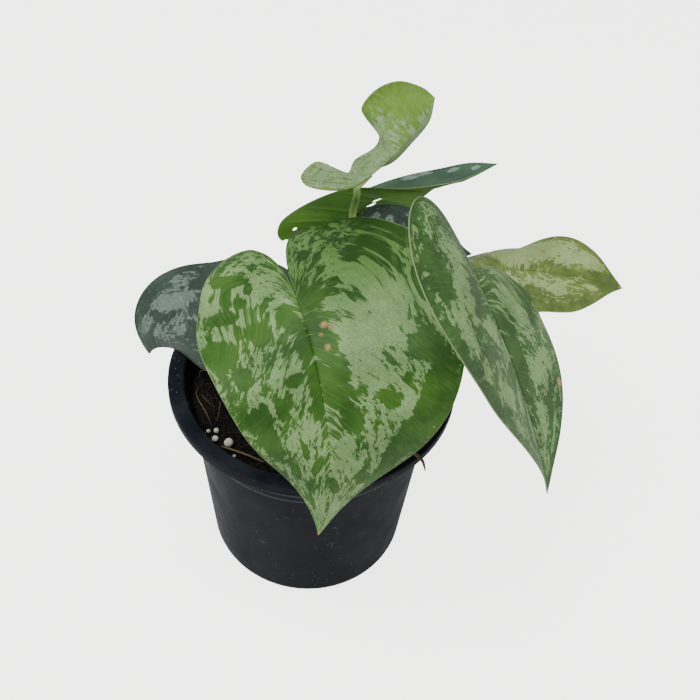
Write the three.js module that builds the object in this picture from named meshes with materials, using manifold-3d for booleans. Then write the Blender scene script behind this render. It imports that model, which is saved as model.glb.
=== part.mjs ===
// Potted satin pothos: a round nursery pot of coco and peat, two rooted vine cuttings, and seven leaves
// on their stalks. Millimetres, +Z up, origin at the centre of the pot's flat underside.
import * as THREE from 'three';
import { mergeVertices } from 'three/addons/utils/BufferGeometryUtils.js';
import Module from 'manifold-3d';

const wasm = await Module();
wasm.setup();

const { degToRad, clamp, lerp, smoothstep } = THREE.MathUtils;

// ---------------------------------------------------------------- driving dimensions

const CLEARANCE = 0.3; // between pieces that touch

const pot = {
  height: 110,
  rimRadius: 63.5,
  rimOverhang: 8.1, // from the wall, just under the lip, out to the rim
  wallLean: 9.1, // how much less the foot's radius is than the wall's under the lip
  flangeWidth: 6.8,
  lipHeight: 4.3,
  wall: 1.4,
  floor: 1.8,
  footFillet: 4,
  shoulder: 6, // height over which the inside opens out to the flange
  stepDrops: [15, 9], // from the rim down to the fine mould steps
  stepOut: 0.4,
  drainCount: 8,
  drainInset: 10.3, // from the foot's edge in to the drain holes' centres
  drainRadius: 4,
  segments: 32,
};

const soilDrop = 9; // from the rim down to the soil
const soilMound = 1.5; // extra height at the stems
const soilEdgeDrop = 0.5; // where the soil turns down to the wall
const stemRadius = 3;
const petioleRadius = 1.7;
const rootRadius = 0.9;
const bladeThickness = 1;

// Half of a heart-shaped leaf, flat: distance along the midrib and distance from it, in shares of the
// midrib's length. It runs from the stalk, round the lobe and out to the tip.
const HEART = [
  [0, 0], [-0.13, 0.03], [-0.245, 0.11], [-0.295, 0.25], [-0.235, 0.395], [-0.07, 0.505],
  [0.14, 0.53], [0.37, 0.465], [0.59, 0.33], [0.78, 0.18], [0.905, 0.068], [1, 0],
];

// Heart leaves. Bases are measured from the centre of the soil's surface. Angles are in degrees: heading
// round from +X, pitch down from level, roll about the midrib, and droop, sweep and twist along it. fold
// and curl of each half are given at the lobe, the middle and the tip. The leaves that hang over the rim
// keep their distance from it.
const heartLeaves = {
  leaf_front: {
    base: [-7.5, 47 - pot.rimRadius, 74], length: 112, width: 0.93, heading: -70, pitch: 10, roll: 4,
    droop: 86, droopMore: 6, sweep: -13, twist: -6,
    left: { lobe: 1.5, skew: 0.02, width: 1.11, fold: [-18, 21, -22], curl: [28, -4, 19] },
    right: { lobe: 1.5, skew: -0.05, width: 0.76, fold: [-29, 4, -56], curl: [19, -16, -11] },
  },
  leaf_right: {
    base: [60.8, -11, 84.5], length: 101, width: 1.05, heading: -53, pitch: 40, roll: -26,
    droop: 20, droopMore: 5, sweep: 14, twist: 1,
    left: { lobe: 0.1, skew: 0.18, width: 0.95, fold: [-19, 7, 9], curl: [-28, -34, -6] },
    right: { lobe: 1.06, skew: 0, width: 1.01, fold: [29, 28, 30], curl: [-36, -22, -3] },
  },
  leaf_left: {
    base: [41.5 - pot.rimRadius, 7.5, 42.5], length: 82, width: 0.81, heading: 178, pitch: -7, roll: -13,
    droop: 85, droopMore: 18, sweep: 3, twist: -20,
    left: { lobe: 1, skew: 0, width: 0.91, fold: [-10, -21, -54], curl: [-25, -20, -13] },
    right: { lobe: 1, skew: 0, width: 0.99, fold: [-10, -14, 39], curl: [-25, -30, 4] },
  },
  leaf_far_right: {
    base: [71.3, 46, 32.5], length: 70.5, width: 1.04, heading: 0, pitch: -3, roll: -2,
    droop: 19, droopMore: 3, sweep: 0, twist: 10,
    left: { lobe: 1, skew: 0, width: 1.08, fold: [-23, -6, 26], curl: [-34, -45, 8] },
    right: { lobe: 1, skew: 0, width: 1, fold: [0, 12, -9], curl: [-15, 5, -7] },
  },
  leaf_back_low: {
    base: [28.5, 37, 55], length: 40, width: 1.04, heading: -5, pitch: 0, roll: 15,
    droop: 20, droopMore: 0, sweep: 6, twist: 0,
    left: { lobe: 1, skew: 0, width: 0.75, fold: [28, 32, 20], curl: [-20, -20, 0] },
    right: { lobe: 1, skew: 0, width: 0.9, fold: [0, 0, -5], curl: [-20, -20, 0] },
  },
};

// Leaves folded along the midrib, each given by its midrib and the two margins, from stalk to tip.
const foldedLeaves = {
  leaf_top: {
    cup: 0.06,
    lobe: 0.22,
    midrib: [[16, 36, 86], [22, 41, 88], [28, 46, 91], [35, 54, 94], [42, 64, 97], [48, 76, 102]],
    left: [
      [16, 36, 86], [10, 34, 85], [3, 31, 87], [-5, 30, 90], [-7, 32, 94], [-1, 38, 96], [7, 41, 90],
      [12, 46, 84], [15, 55, 84], [23, 61, 86], [25, 65, 90], [19, 67, 97], [17, 67, 103], [23, 71, 109],
      [32, 74, 111], [42, 76, 107], [48, 76, 102],
    ],
    right: [
      [16, 36, 86], [13, 43, 81], [14, 53, 76], [22, 60, 75], [31, 58, 81], [39, 64, 87], [46, 70, 94],
      [48, 76, 102],
    ],
  },
  leaf_back_long: {
    cup: 0.06,
    lobe: 0.1,
    midrib: [[11, 43, 55], [25, 51, 54], [40, 60, 54], [53, 74, 55], [68, 83, 55], [83, 94, 54]],
    left: [
      [11, 43, 55], [5, 50, 51], [5, 65, 46], [12, 76, 44], [25, 84, 46], [40, 90, 48], [57, 94, 50],
      [70, 95, 53], [83, 94, 54],
    ],
    right: [
      [11, 43, 55], [4, 38, 53], [-7, 34, 53], [-16, 35, 56], [-16, 38, 62], [-10, 42, 66], [0, 46, 70],
      [11, 50, 72], [23, 53, 71], [37, 58.5, 66.5], [52, 67, 62], [65, 75.5, 59], [83, 94, 54],
    ],
  },
};

// Vine cuttings, from the buried end to the growing tip.
const stems = {
  stem_main: [[4, 9, -38], [5, 10, -18], [6, 11, 0], [7, 15, 20], [9, 20, 36], [11, 26, 48]],
  stem_right: [[26, 8, -34], [28, 10, -14], [30, 12, 0], [31, 14, 16], [34, 16, 34]],
};

// Leaf stalks: the stem each one grows from, its route up towards the blade, and how far the folded blade
// falls over the stalk's end. The end comes up square to the blade unless `down` gives its direction.
const petioles = {
  petiole_front: {
    stem: 'stem_main', leaf: 'leaf_front', fall: 1.7, route: [[8, 16, 25], [3, 4, 44], [-4, -8, 62]],
  },
  petiole_right: {
    stem: 'stem_right', leaf: 'leaf_right', fall: 0.1, route: [[34, 16, 31], [44, 9, 50], [54, -2, 70]],
  },
  petiole_left: {
    stem: 'stem_main', leaf: 'leaf_left', fall: 1, route: [[7, 13, 12], [-4, 11, 22], [-15, 10, 31]],
  },
  petiole_far_right: {
    stem: 'stem_right', leaf: 'leaf_far_right', fall: 0.6, route: [[32, 15, 14], [46, 25, 17], [63, 40, 23]],
  },
  petiole_back_low: {
    stem: 'stem_main', leaf: 'leaf_back_low', fall: 0.9, down: [-0.2, 0.1, -1],
    route: [[9, 18, 30], [16, 28, 34], [25, 35, 43]],
  },
  petiole_back_long: {
    stem: 'stem_main', leaf: 'leaf_back_long', fall: 0.9, down: [0, -0.2, -1],
    route: [[10, 22, 40], [7, 30, 43], [8, 38, 46]],
  },
  petiole_top: {
    stem: 'stem_main', leaf: 'leaf_top', fall: 1.2, down: [0, 0.15, -1],
    route: [[11, 26, 47], [15, 32.5, 50.5], [15.5, 39, 58], [15, 42, 66], [15.8, 40.5, 74]],
  },
};

// Roots below each cutting: where each one ends.
const roots = {
  roots_main: [[-26, 10, -78], [-10, -22, -72], [12, -8, -86], [6, 32, -70]],
  roots_right: [[38, -10, -70], [36, 22, -72], [20, -14, -80]],
};

// Grains of slow-release feed and perlite: where each one lies, and its radius.
const prills = [
  { at: [-40.3, -27.8], radius: 1.1 },
  { at: [-43.7, -28.2], radius: 0.9 },
  { at: [-40.4, -32.4], radius: 1.35 },
  { at: [-34.4, -34.7], radius: 1.9 },
  { at: [-31.6, -41], radius: 0.8 },
];

// Dry stalks and fibres that lie on the soil or over the rim.
const strands = {
  straw: { radius: 0.7, route: [[-37.6, -36, 0.9], [-33.3, -38.4, 2.2], [-26, -41, 1.9], [-19, -43.5, 0.9]] },
  fibre_long: { radius: 0.35, route: [[-50.5, -3.5, 0.4], [-50, -12, 5], [-45.5, -20, 4], [-42.5, -24.5, 0.4]] },
  fibre_short: { radius: 0.35, route: [[-48.5, -7, 0.4], [-47, -12, 4], [-42, -14.6, 0.4]] },
  fibre_inner: { radius: 0.35, route: [[-39.8, -11, 0.4], [-39.5, -17, 4.5], [-40.5, -22, 0.4]] },
  fibre_loop: { radius: 0.35, route: [[-50.5, 2.7, 0.4], [-49.5, 2.4, 5], [-45, 2.6, 5], [-42.5, 3, 0.4]] },
  dry_root_right: {
    radius: 0.8,
    route: [[31, -30, 1.1], [36, -36, 6.5], [41, -41.5, 10.6], [46.5, -46.5, 10.4], [48.5, -48.5, 5.5]],
  },
};

const colours = {
  plastic: 0x23262b,
  soil: 0x2a1d15,
  stem: 0x5b7d3a,
  petiole: 0x7f9a55,
  root: 0xb9a37c,
  prill: 0xe4e2d8,
  dry: 0x9b7a4c,
  leaf_front: 0x5f8a48,
  leaf_right: 0x5a8048,
  leaf_left: 0x4a5f58,
  leaf_far_right: 0xa8b878,
  leaf_back_low: 0x48604c,
  leaf_back_long: 0x3f6a32,
  leaf_top: 0x8fb45a,
};

// ---------------------------------------------------------------- solids

const vector = (values) => new THREE.Vector3(...values);

/** The positions and faces of a geometry, with shared corners merged and collapsed faces left out. */
function weld(geometry) {
  const bare = geometry.clone();
  bare.deleteAttribute('normal');
  bare.deleteAttribute('uv');
  const merged = mergeVertices(bare, 1e-3);
  const kept = [];
  const index = merged.index.array;
  for (let i = 0; i < index.length; i += 3) {
    const [a, b, c] = [index[i], index[i + 1], index[i + 2]];
    if (a !== b && b !== c && c !== a) kept.push(a, b, c);
  }
  return { vertProperties: new Float32Array(merged.attributes.position.array), triVerts: new Uint32Array(kept) };
}

/** A closed geometry as a solid that can be cut and joined. */
function solidOf(geometry) {
  return new wasm.Manifold(new wasm.Mesh({ numProp: 3, ...weld(geometry) }));
}

/** A solid's faces as a geometry. */
function geometryOf(solid) {
  const mesh = solid.getMesh();
  const geometry = new THREE.BufferGeometry();
  geometry.setAttribute('position', new THREE.BufferAttribute(mesh.vertProperties, 3));
  geometry.setIndex(new THREE.BufferAttribute(mesh.triVerts, 1));
  return geometry;
}

/** The largest separate body of a solid. */
function mainBody(solid) {
  const bodies = solid.decompose();
  return bodies.reduce((best, body) => (body.volume() > best.volume() ? body : best));
}

/** A solid of revolution about Z from [radius, height] points. */
function revolved(points, segments) {
  const profile = points.map(([radius, height]) => new THREE.Vector2(radius, height));
  return new THREE.LatheGeometry(profile, segments).rotateX(Math.PI / 2);
}

/** A round rod along a curve through the route's points, made longer by `extra` at both ends. */
function rod(route, radius, { sides = 8, stepLength = 6, extra = 0 } = {}) {
  const points = route.map(vector);
  const [first, second] = points;
  const [last, beforeLast] = [points.at(-1), points.at(-2)];
  first.addScaledVector(first.clone().sub(second).normalize(), extra);
  last.addScaledVector(last.clone().sub(beforeLast).normalize(), extra);
  const path = new THREE.CatmullRomCurve3(points, false, 'catmullrom', 0.5);
  const section = new THREE.Shape();
  for (let k = 0; k <= sides; k += 1) {
    const angle = (2 * Math.PI * k) / sides;
    const corner = [radius * Math.cos(angle), radius * Math.sin(angle)];
    if (k === 0) section.moveTo(...corner);
    else section.lineTo(...corner);
  }
  const steps = Math.max(2, Math.round(path.getLength() / stepLength));
  return new THREE.ExtrudeGeometry(section, { steps, bevelEnabled: false, extrudePath: path });
}

// ---------------------------------------------------------------- leaf blades

const heartHalf = new THREE.CatmullRomCurve3(
  HEART.map(([along, across]) => new THREE.Vector3(along, across, 0)), false, 'catmullrom', 0.5,
);

/** Where on the midrib, as a share of it, the blade's line to the margin point `s` starts. */
const midribShare = (s, lobe = 0.22) => clamp((s - lobe) / (1 - lobe), 0, 1) ** 1.25;

/** A value given at the lobe, the middle and the tip, at share `a` of the midrib. */
function staged([lobe, middle, tip], a) {
  const low = smoothstep(a, -0.25, 0.35);
  const high = smoothstep(a, 0.35, 0.95);
  return lobe + (middle - lobe) * low + (tip - middle) * high;
}

/** The directions along, to the left of and out of the midrib at share `a`. */
function midribFrame(leaf, a) {
  const heading = degToRad(leaf.heading);
  const pitch = degToRad(leaf.pitch);
  const flat = Math.cos(pitch);
  const along = new THREE.Vector3(Math.cos(heading) * flat, Math.sin(heading) * flat, -Math.sin(pitch));
  const left = new THREE.Vector3(-Math.sin(heading), Math.cos(heading), 0);
  left.applyAxisAngle(along, degToRad(leaf.roll));
  const up = new THREE.Vector3().crossVectors(along, left);
  const droop = degToRad(leaf.droop * a + leaf.droopMore * a * Math.abs(a));
  const sweep = degToRad(leaf.sweep * a);
  const combine = (x, y, z) => new THREE.Vector3()
    .addScaledVector(along, x).addScaledVector(left, y).addScaledVector(up, z);
  const tangent = combine(
    Math.cos(droop) * Math.cos(sweep), Math.sin(sweep), -Math.sin(droop) * Math.cos(sweep),
  );
  const side = combine(
    -Math.sin(sweep) * Math.cos(droop), Math.cos(sweep), Math.sin(sweep) * Math.sin(droop),
  );
  side.applyAxisAngle(tangent, degToRad(leaf.twist * a));
  return { tangent, side, out: new THREE.Vector3().crossVectors(tangent, side) };
}

/** The midrib's point at share `a`. */
function midribPoint(leaf, a) {
  const steps = 12;
  const point = vector(leaf.base);
  for (let k = 0; k < steps; k += 1) {
    const { tangent } = midribFrame(leaf, (a * (k + 0.5)) / steps);
    point.addScaledVector(tangent, (a * leaf.length) / steps);
  }
  return point;
}

/** A point of a heart leaf: side 1 or -1, share `s` round the margin, share `w` from midrib to margin. */
function heartPoint(leaf, side, s, w) {
  const half = side > 0 ? leaf.left : leaf.right;
  const margin = heartHalf.getPoint(s);
  const along = (margin.x < 0 ? margin.x * half.lobe : margin.x) + half.skew * margin.y * (1 - margin.x);
  const start = midribShare(s);
  const a = lerp(start, along, w);
  const across = margin.y * w * leaf.width * half.width;
  const fold = degToRad(staged(half.fold, a));
  const curl = degToRad(staged(half.curl, a)) * 2 || 1e-6;
  const lateral = (Math.sin(fold + curl * across) - Math.sin(fold)) / curl;
  const lift = (Math.cos(fold) - Math.cos(fold + curl * across)) / curl;
  const { side: sideways, out } = midribFrame(leaf, a);
  return midribPoint(leaf, a)
    .addScaledVector(sideways, side * lateral * leaf.length)
    .addScaledVector(out, lift * leaf.length);
}

/** The curves of a folded leaf, made once. */
function foldedCurves(leaf) {
  const curve = (points) => new THREE.CatmullRomCurve3(points.map(vector), false, 'catmullrom', 0.5);
  return { ...leaf, midrib: curve(leaf.midrib), left: curve(leaf.left), right: curve(leaf.right) };
}

/** A point of a folded leaf, with the same arguments as a heart leaf's. */
function foldedPoint(curves, side, s, w) {
  const share = midribShare(s, curves.lobe);
  const start = curves.midrib.getPoint(share);
  const reach = (side > 0 ? curves.left : curves.right).getPoint(s).sub(start);
  const tangent = curves.midrib.getTangent(share);
  const normal = new THREE.Vector3().crossVectors(tangent, reach).normalize();
  const sag = -side * curves.cup * 4 * w * (1 - w) * reach.length();
  return start.addScaledVector(reach, w).addScaledVector(normal, sag);
}

/** An open sheet of both halves of a leaf: merged points and faces that look out of its upper side. */
function bladeSheet(pointAt, rows = 16, columns = 3) {
  const points = [];
  const faces = [];
  const known = new Map();
  const indexOf = (point) => {
    const key = point.toArray().map((value) => Math.round(value * 1000)).join();
    if (!known.has(key)) {
      known.set(key, points.length);
      points.push(point);
    }
    return known.get(key);
  };
  const addFace = (a, b, c) => {
    if (a !== b && b !== c && c !== a) faces.push([a, b, c]);
  };
  for (const side of [1, -1]) {
    const at = (i, j) => indexOf(pointAt(side, i / rows, j / columns));
    for (let i = 0; i < rows; i += 1) {
      for (let j = 0; j < columns; j += 1) {
        const corners = [at(i, j), at(i + 1, j), at(i + 1, j + 1), at(i, j + 1)];
        const [a, b, c, d] = side > 0 ? corners : corners.reverse();
        addFace(a, b, c);
        addFace(a, c, d);
      }
    }
  }
  return { points, faces };
}

/** The direction out of the sheet at each of its points. */
function sheetNormals({ points, faces }) {
  const normals = points.map(() => new THREE.Vector3());
  for (const [a, b, c] of faces) {
    const face = new THREE.Vector3().subVectors(points[b], points[a])
      .cross(new THREE.Vector3().subVectors(points[c], points[a]));
    for (const corner of [a, b, c]) normals[corner].add(face);
  }
  return normals.map((normal) => normal.normalize());
}

/** A closed plate of even thickness about a sheet. */
function plate(sheet, thickness) {
  const normals = sheetNormals(sheet);
  const count = sheet.points.length;
  const upper = sheet.points.map((p, k) => p.clone().addScaledVector(normals[k], thickness / 2));
  const lower = sheet.points.map((p, k) => p.clone().addScaledVector(normals[k], -thickness / 2));
  const index = [];
  const edges = new Set();
  for (const [a, b, c] of sheet.faces) {
    index.push(a, b, c, count + c, count + b, count + a);
    for (const [from, to] of [[a, b], [b, c], [c, a]]) edges.add(`${from},${to}`);
  }
  for (const edge of edges) {
    const [a, b] = edge.split(',').map(Number);
    if (!edges.has(`${b},${a}`)) index.push(b, a, count + a, b, count + a, count + b);
  }
  const geometry = new THREE.BufferGeometry();
  const flat = [...upper, ...lower].flatMap((point) => point.toArray());
  geometry.setAttribute('position', new THREE.Float32BufferAttribute(flat, 3));
  geometry.setIndex(index);
  return geometry;
}

// ---------------------------------------------------------------- scene graph

const model = new THREE.Group();
const plant = new THREE.Group();
plant.position.z = pot.height - soilDrop;
model.add(plant);

/** Adds a geometry to a group as a named piece. */
function addPiece(group, name, geometry, colour, { roughness = 0.6, metalness = 0, at = [0, 0, 0] } = {}) {
  const material = new THREE.MeshStandardMaterial({ color: colour, roughness, metalness });
  const mesh = new THREE.Mesh(geometry.translate(-at[0], -at[1], -at[2]), material);
  mesh.name = name;
  mesh.position.set(...at);
  group.add(mesh);
}

// Pot
const lipBottom = pot.height - pot.lipHeight;
const rimInner = pot.rimRadius - pot.flangeWidth;
const wallRadius = pot.rimRadius - pot.rimOverhang;
const baseRadius = wallRadius - pot.wallLean;
const drainCircle = baseRadius - pot.drainInset;
const stepHeights = pot.stepDrops.map((drop) => pot.height - drop);
const stepsBelow = (z) => stepHeights.filter((height) => height < z).length;
const outerRadius = (z) => {
  const taper = lerp(baseRadius, wallRadius - pot.stepOut * stepHeights.length, z / lipBottom);
  return taper + pot.stepOut * stepsBelow(z);
};
const innerRadius = (z) => outerRadius(z) - pot.wall;

function potProfile() {
  const { height, footFillet, wall, floor, shoulder, rimRadius } = pot;
  const points = [[0, 0]];
  const centre = outerRadius(footFillet) - footFillet;
  for (let k = 0; k <= 3; k += 1) {
    const angle = (Math.PI / 6) * k;
    points.push([centre + footFillet * Math.sin(angle), footFillet * (1 - Math.cos(angle))]);
  }
  for (const z of stepHeights) {
    points.push([outerRadius(z), z]);
    points.push([outerRadius(z + 0.5), z + 0.5]);
  }
  points.push([outerRadius(height - shoulder), height - shoulder]);
  points.push([rimInner + wall, height - wall - 0.6]);
  points.push([rimRadius - wall, height - wall]);
  points.push([rimRadius - wall, lipBottom]);
  points.push([rimRadius, lipBottom]);
  points.push([rimRadius, height - 0.8]);
  points.push([rimRadius - 0.8, height]);
  points.push([rimInner + 0.6, height]);
  points.push([rimInner, height - 0.6]);
  points.push([innerRadius(height - shoulder), height - shoulder]);
  points.push([innerRadius(stepHeights[0]), stepHeights[0]]);
  points.push([innerRadius(floor + footFillet), floor + footFillet]);
  points.push([innerRadius(floor) - footFillet, floor]);
  points.push([0, floor]);
  return points;
}

let potSolid = solidOf(revolved(potProfile(), pot.segments));
for (let k = 0; k < pot.drainCount; k += 1) {
  const angle = (2 * Math.PI * (k + 0.5)) / pot.drainCount;
  const hole = new THREE.CylinderGeometry(pot.drainRadius, pot.drainRadius, 4 * pot.floor, 16)
    .rotateX(Math.PI / 2)
    .translate(drainCircle * Math.cos(angle), drainCircle * Math.sin(angle), 0);
  potSolid = potSolid.subtract(solidOf(hole));
}
addPiece(model, 'pot', geometryOf(potSolid), colours.plastic, { roughness: 0.5 });

// Leaves
const blades = {};
for (const [name, leaf] of Object.entries(heartLeaves)) {
  const pointAt = (side, s, w) => heartPoint(leaf, side, s, w);
  blades[name] = { base: leaf.base, sheet: bladeSheet(pointAt) };
}
for (const [name, leaf] of Object.entries(foldedLeaves)) {
  const curves = foldedCurves(leaf);
  const pointAt = (side, s, w) => foldedPoint(curves, side, s, w);
  blades[name] = { base: leaf.midrib[0], sheet: bladeSheet(pointAt, 24, 3) };
}
for (const [name, { base, sheet }] of Object.entries(blades)) {
  addPiece(plant, name, plate(sheet, bladeThickness), colours[name], { at: base });
}

// Stems, and the room that other pieces leave round them
const stemSolid = (name, extra = 0) => {
  return solidOf(rod(stems[name], stemRadius + extra, { sides: 10, stepLength: 10, extra }));
};
for (const name of Object.keys(stems)) {
  addPiece(plant, name, geometryOf(stemSolid(name)), colours.stem);
}

// Leaf stalks, trimmed where they leave the stem and ending just under the blade's foot
for (const [name, { stem, leaf, fall, down, route }] of Object.entries(petioles)) {
  const { base, sheet } = blades[leaf];
  const foot = sheet.points.findIndex((point) => point.distanceTo(vector(base)) < 0.01);
  const direction = down ? vector(down).normalize() : sheetNormals(sheet)[foot].negate();
  const below = (distance) => vector(base).addScaledVector(direction, distance).toArray();
  const seat = bladeThickness / 2 + CLEARANCE + fall;
  const stalk = rod([...route, below(seat + 3 * petioleRadius), below(seat)], petioleRadius);
  const trimmed = solidOf(stalk).subtract(stemSolid(stem, CLEARANCE));
  addPiece(plant, name, geometryOf(mainBody(trimmed)), colours.petiole, { at: route[0] });
}

// Roots, joined in one clump below each cutting
function rootClump(name, extra = 0) {
  const [end] = stems[name.replace('roots', 'stem')];
  const crown = vector(end).add(new THREE.Vector3(0, 0, -(CLEARANCE + 2 * rootRadius)));
  const core = solidOf(new THREE.IcosahedronGeometry(2 * rootRadius + extra, 1).translate(...crown.toArray()));
  const strandsOf = roots[name].map((tip) => {
    const bend = crown.clone().lerp(vector(tip), 0.5).add(new THREE.Vector3(0, 0, 5));
    const route = [crown.toArray(), bend.toArray(), tip];
    const end = new THREE.IcosahedronGeometry(rootRadius + extra).translate(...tip);
    return solidOf(rod(route, rootRadius + extra, { sides: 6, stepLength: 20 })).add(solidOf(end));
  });
  return strandsOf.reduce((clump, strand) => clump.add(strand), core);
}
for (const name of Object.keys(roots)) {
  addPiece(plant, name, geometryOf(rootClump(name)), colours.root);
}

// Soil, with the buried stems and roots left open in it
const soilBottom = pot.floor + CLEARANCE - plant.position.z;
const soilRadius = (z) => innerRadius(z + plant.position.z) - CLEARANCE;
function soilProfile() {
  const foot = soilBottom + pot.footFillet;
  return [
    [0, soilBottom],
    [soilRadius(soilBottom) - pot.footFillet - CLEARANCE, soilBottom],
    [soilRadius(foot) - CLEARANCE, foot],
    [soilRadius(stepHeights[0] - plant.position.z), stepHeights[0] - plant.position.z - CLEARANCE],
    [soilRadius(-1.5), -1.5],
    [soilRadius(-1.5) - 1.5, -soilEdgeDrop],
    [34, 0],
    [20, soilMound],
    [0, soilMound],
  ];
}
let soilSolid = solidOf(revolved(soilProfile(), pot.segments));
for (const name of Object.keys(stems)) soilSolid = soilSolid.subtract(stemSolid(name, CLEARANCE));
for (const name of Object.keys(roots)) soilSolid = soilSolid.subtract(rootClump(name, CLEARANCE));
addPiece(plant, 'soil', geometryOf(mainBody(soilSolid)), colours.soil, { roughness: 0.95 });

// Grains on the soil
prills.forEach(({ at: [x, y], radius }, k) => {
  const centre = [x, y, radius + CLEARANCE - soilEdgeDrop / 2];
  const grain = new THREE.IcosahedronGeometry(radius, 1).translate(...centre);
  addPiece(plant, `prill_${k + 1}`, geometryOf(solidOf(grain)), colours.prill, {
    at: centre, roughness: 0.7,
  });
});

// Dry strands
for (const [name, { route, radius }] of Object.entries(strands)) {
  const strand = rod(route, radius, { sides: 6, stepLength: 3 });
  addPiece(plant, name, geometryOf(solidOf(strand)), colours.dry, { at: route[0], roughness: 0.9 });
}

export default model;
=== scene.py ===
"""A potted satin pothos: nursery pot, coco and peat mix, two rooted cuttings, seven leaves on their stalks.

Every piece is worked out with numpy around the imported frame. Lengths in the shape tables are millimetres
and are turned to metres by MM; the plant is measured from the centre of the soil's surface.
"""

from __future__ import annotations

import logging
import math
from dataclasses import dataclass
from enum import Enum

import bpy
import numpy as np
from mathutils import Matrix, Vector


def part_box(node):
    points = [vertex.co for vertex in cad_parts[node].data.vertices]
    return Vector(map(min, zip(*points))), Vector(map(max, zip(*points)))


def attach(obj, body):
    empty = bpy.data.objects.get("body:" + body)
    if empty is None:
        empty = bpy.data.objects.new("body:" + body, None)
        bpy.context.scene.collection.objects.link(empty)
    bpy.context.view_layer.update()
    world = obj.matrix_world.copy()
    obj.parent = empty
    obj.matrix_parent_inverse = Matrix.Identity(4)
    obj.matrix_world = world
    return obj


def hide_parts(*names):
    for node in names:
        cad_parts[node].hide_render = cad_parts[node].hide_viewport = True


MM = 0.001
SOIL_DROP = 9.0  # mm from the rim down to the soil

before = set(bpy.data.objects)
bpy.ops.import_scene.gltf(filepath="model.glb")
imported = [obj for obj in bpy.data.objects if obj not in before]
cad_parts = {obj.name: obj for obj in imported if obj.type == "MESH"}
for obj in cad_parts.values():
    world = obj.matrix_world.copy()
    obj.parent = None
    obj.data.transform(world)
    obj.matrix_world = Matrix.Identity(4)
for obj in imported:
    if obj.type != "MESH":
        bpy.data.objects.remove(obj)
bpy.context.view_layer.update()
log = logging.getLogger("pothos")


# ---------------------------------------------------------------- numbers and curves


def linear(hex_colour: str) -> tuple[float, float, float, float]:
    """Turns an sRGB hex colour to linear light.

    Args:
        hex_colour: six hex digits.

    Returns:
        Red, green, blue and alpha from 0 to 1.
    """
    values = [int(hex_colour[i:i + 2], 16) / 255 for i in (0, 2, 4)]
    return tuple(v / 12.92 if v <= 0.04045 else ((v + 0.055) / 1.055) ** 2.4 for v in values) + (1.0,)


def smoothstep(low: float, high: float, x: np.ndarray) -> np.ndarray:
    """Rises from 0 at low to 1 at high as 3t^2 - 2t^3, with level ends."""
    t = np.clip((x - low) / (high - low), 0.0, 1.0)
    return t * t * (3.0 - 2.0 * t)


def unit(vectors: np.ndarray) -> np.ndarray:
    """Scales vectors on the last axis to length one."""
    return vectors / np.maximum(np.linalg.norm(vectors, axis=-1, keepdims=True), 1e-12)


def catmull(points: np.ndarray, t: np.ndarray) -> np.ndarray:
    """Follows a uniform Catmull-Rom curve, whose end tangents continue its first and last spans.

    Args:
        points: the curve's points, one a row.
        t: shares of the way along, 0 to 1, of any shape.

    Returns:
        The points at t, with t's shape and one more axis.
    """
    p = np.asarray(points, float)
    ends = np.vstack([2 * p[0] - p[1], p, 2 * p[-1] - p[-2]])
    x = np.clip(t, 0.0, 1.0) * (len(p) - 1)
    i = np.minimum(x.astype(int), len(p) - 2)
    u = (x - i)[..., None]
    a, b, c, d = ends[i], ends[i + 1], ends[i + 2], ends[i + 3]
    return 0.5 * (2 * b + (c - a) * u + (2 * a - 5 * b + 4 * c - d) * u ** 2 + (3 * b - a - 3 * c + d) * u ** 3)


def lattice_noise(points: np.ndarray, size: float, seed: int) -> np.ndarray:
    """Smooth noise from -1 to 1: random values on a cubic lattice, blended by smoothstep between its corners.

    Args:
        points: places on the last axis, in any unit.
        size: the lattice's spacing in the same unit.
        seed: which noise it is.

    Returns:
        One value a place.
    """
    table = np.random.default_rng(seed).uniform(-1.0, 1.0, 4096)
    p = np.asarray(points, float) / size
    cell = np.floor(p).astype(np.int64)
    f = p - cell
    f = f * f * (3.0 - 2.0 * f)
    total = np.zeros(p.shape[:-1])
    for dx, dy, dz in np.ndindex(2, 2, 2):
        corner = (cell[..., 0] + dx) * 73856093 ^ (cell[..., 1] + dy) * 19349663 ^ (cell[...,
                                                                                         2] + dz) * 83492791
        weight = np.ones(p.shape[:-1])
        for k, d in enumerate((dx, dy, dz)):
            weight = weight * (f[..., k] if d else 1.0 - f[..., k])
        total += weight * table[corner % 4096]
    return total


def fractal(points: np.ndarray, size: float, seed: int, octaves: int = 3) -> np.ndarray:
    """Adds octaves of lattice noise, each half the size and half the height of the one before."""
    return sum(lattice_noise(points, size / 2 ** k, seed + k) / 2 ** k for k in range(octaves))


# ---------------------------------------------------------------- meshes


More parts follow.
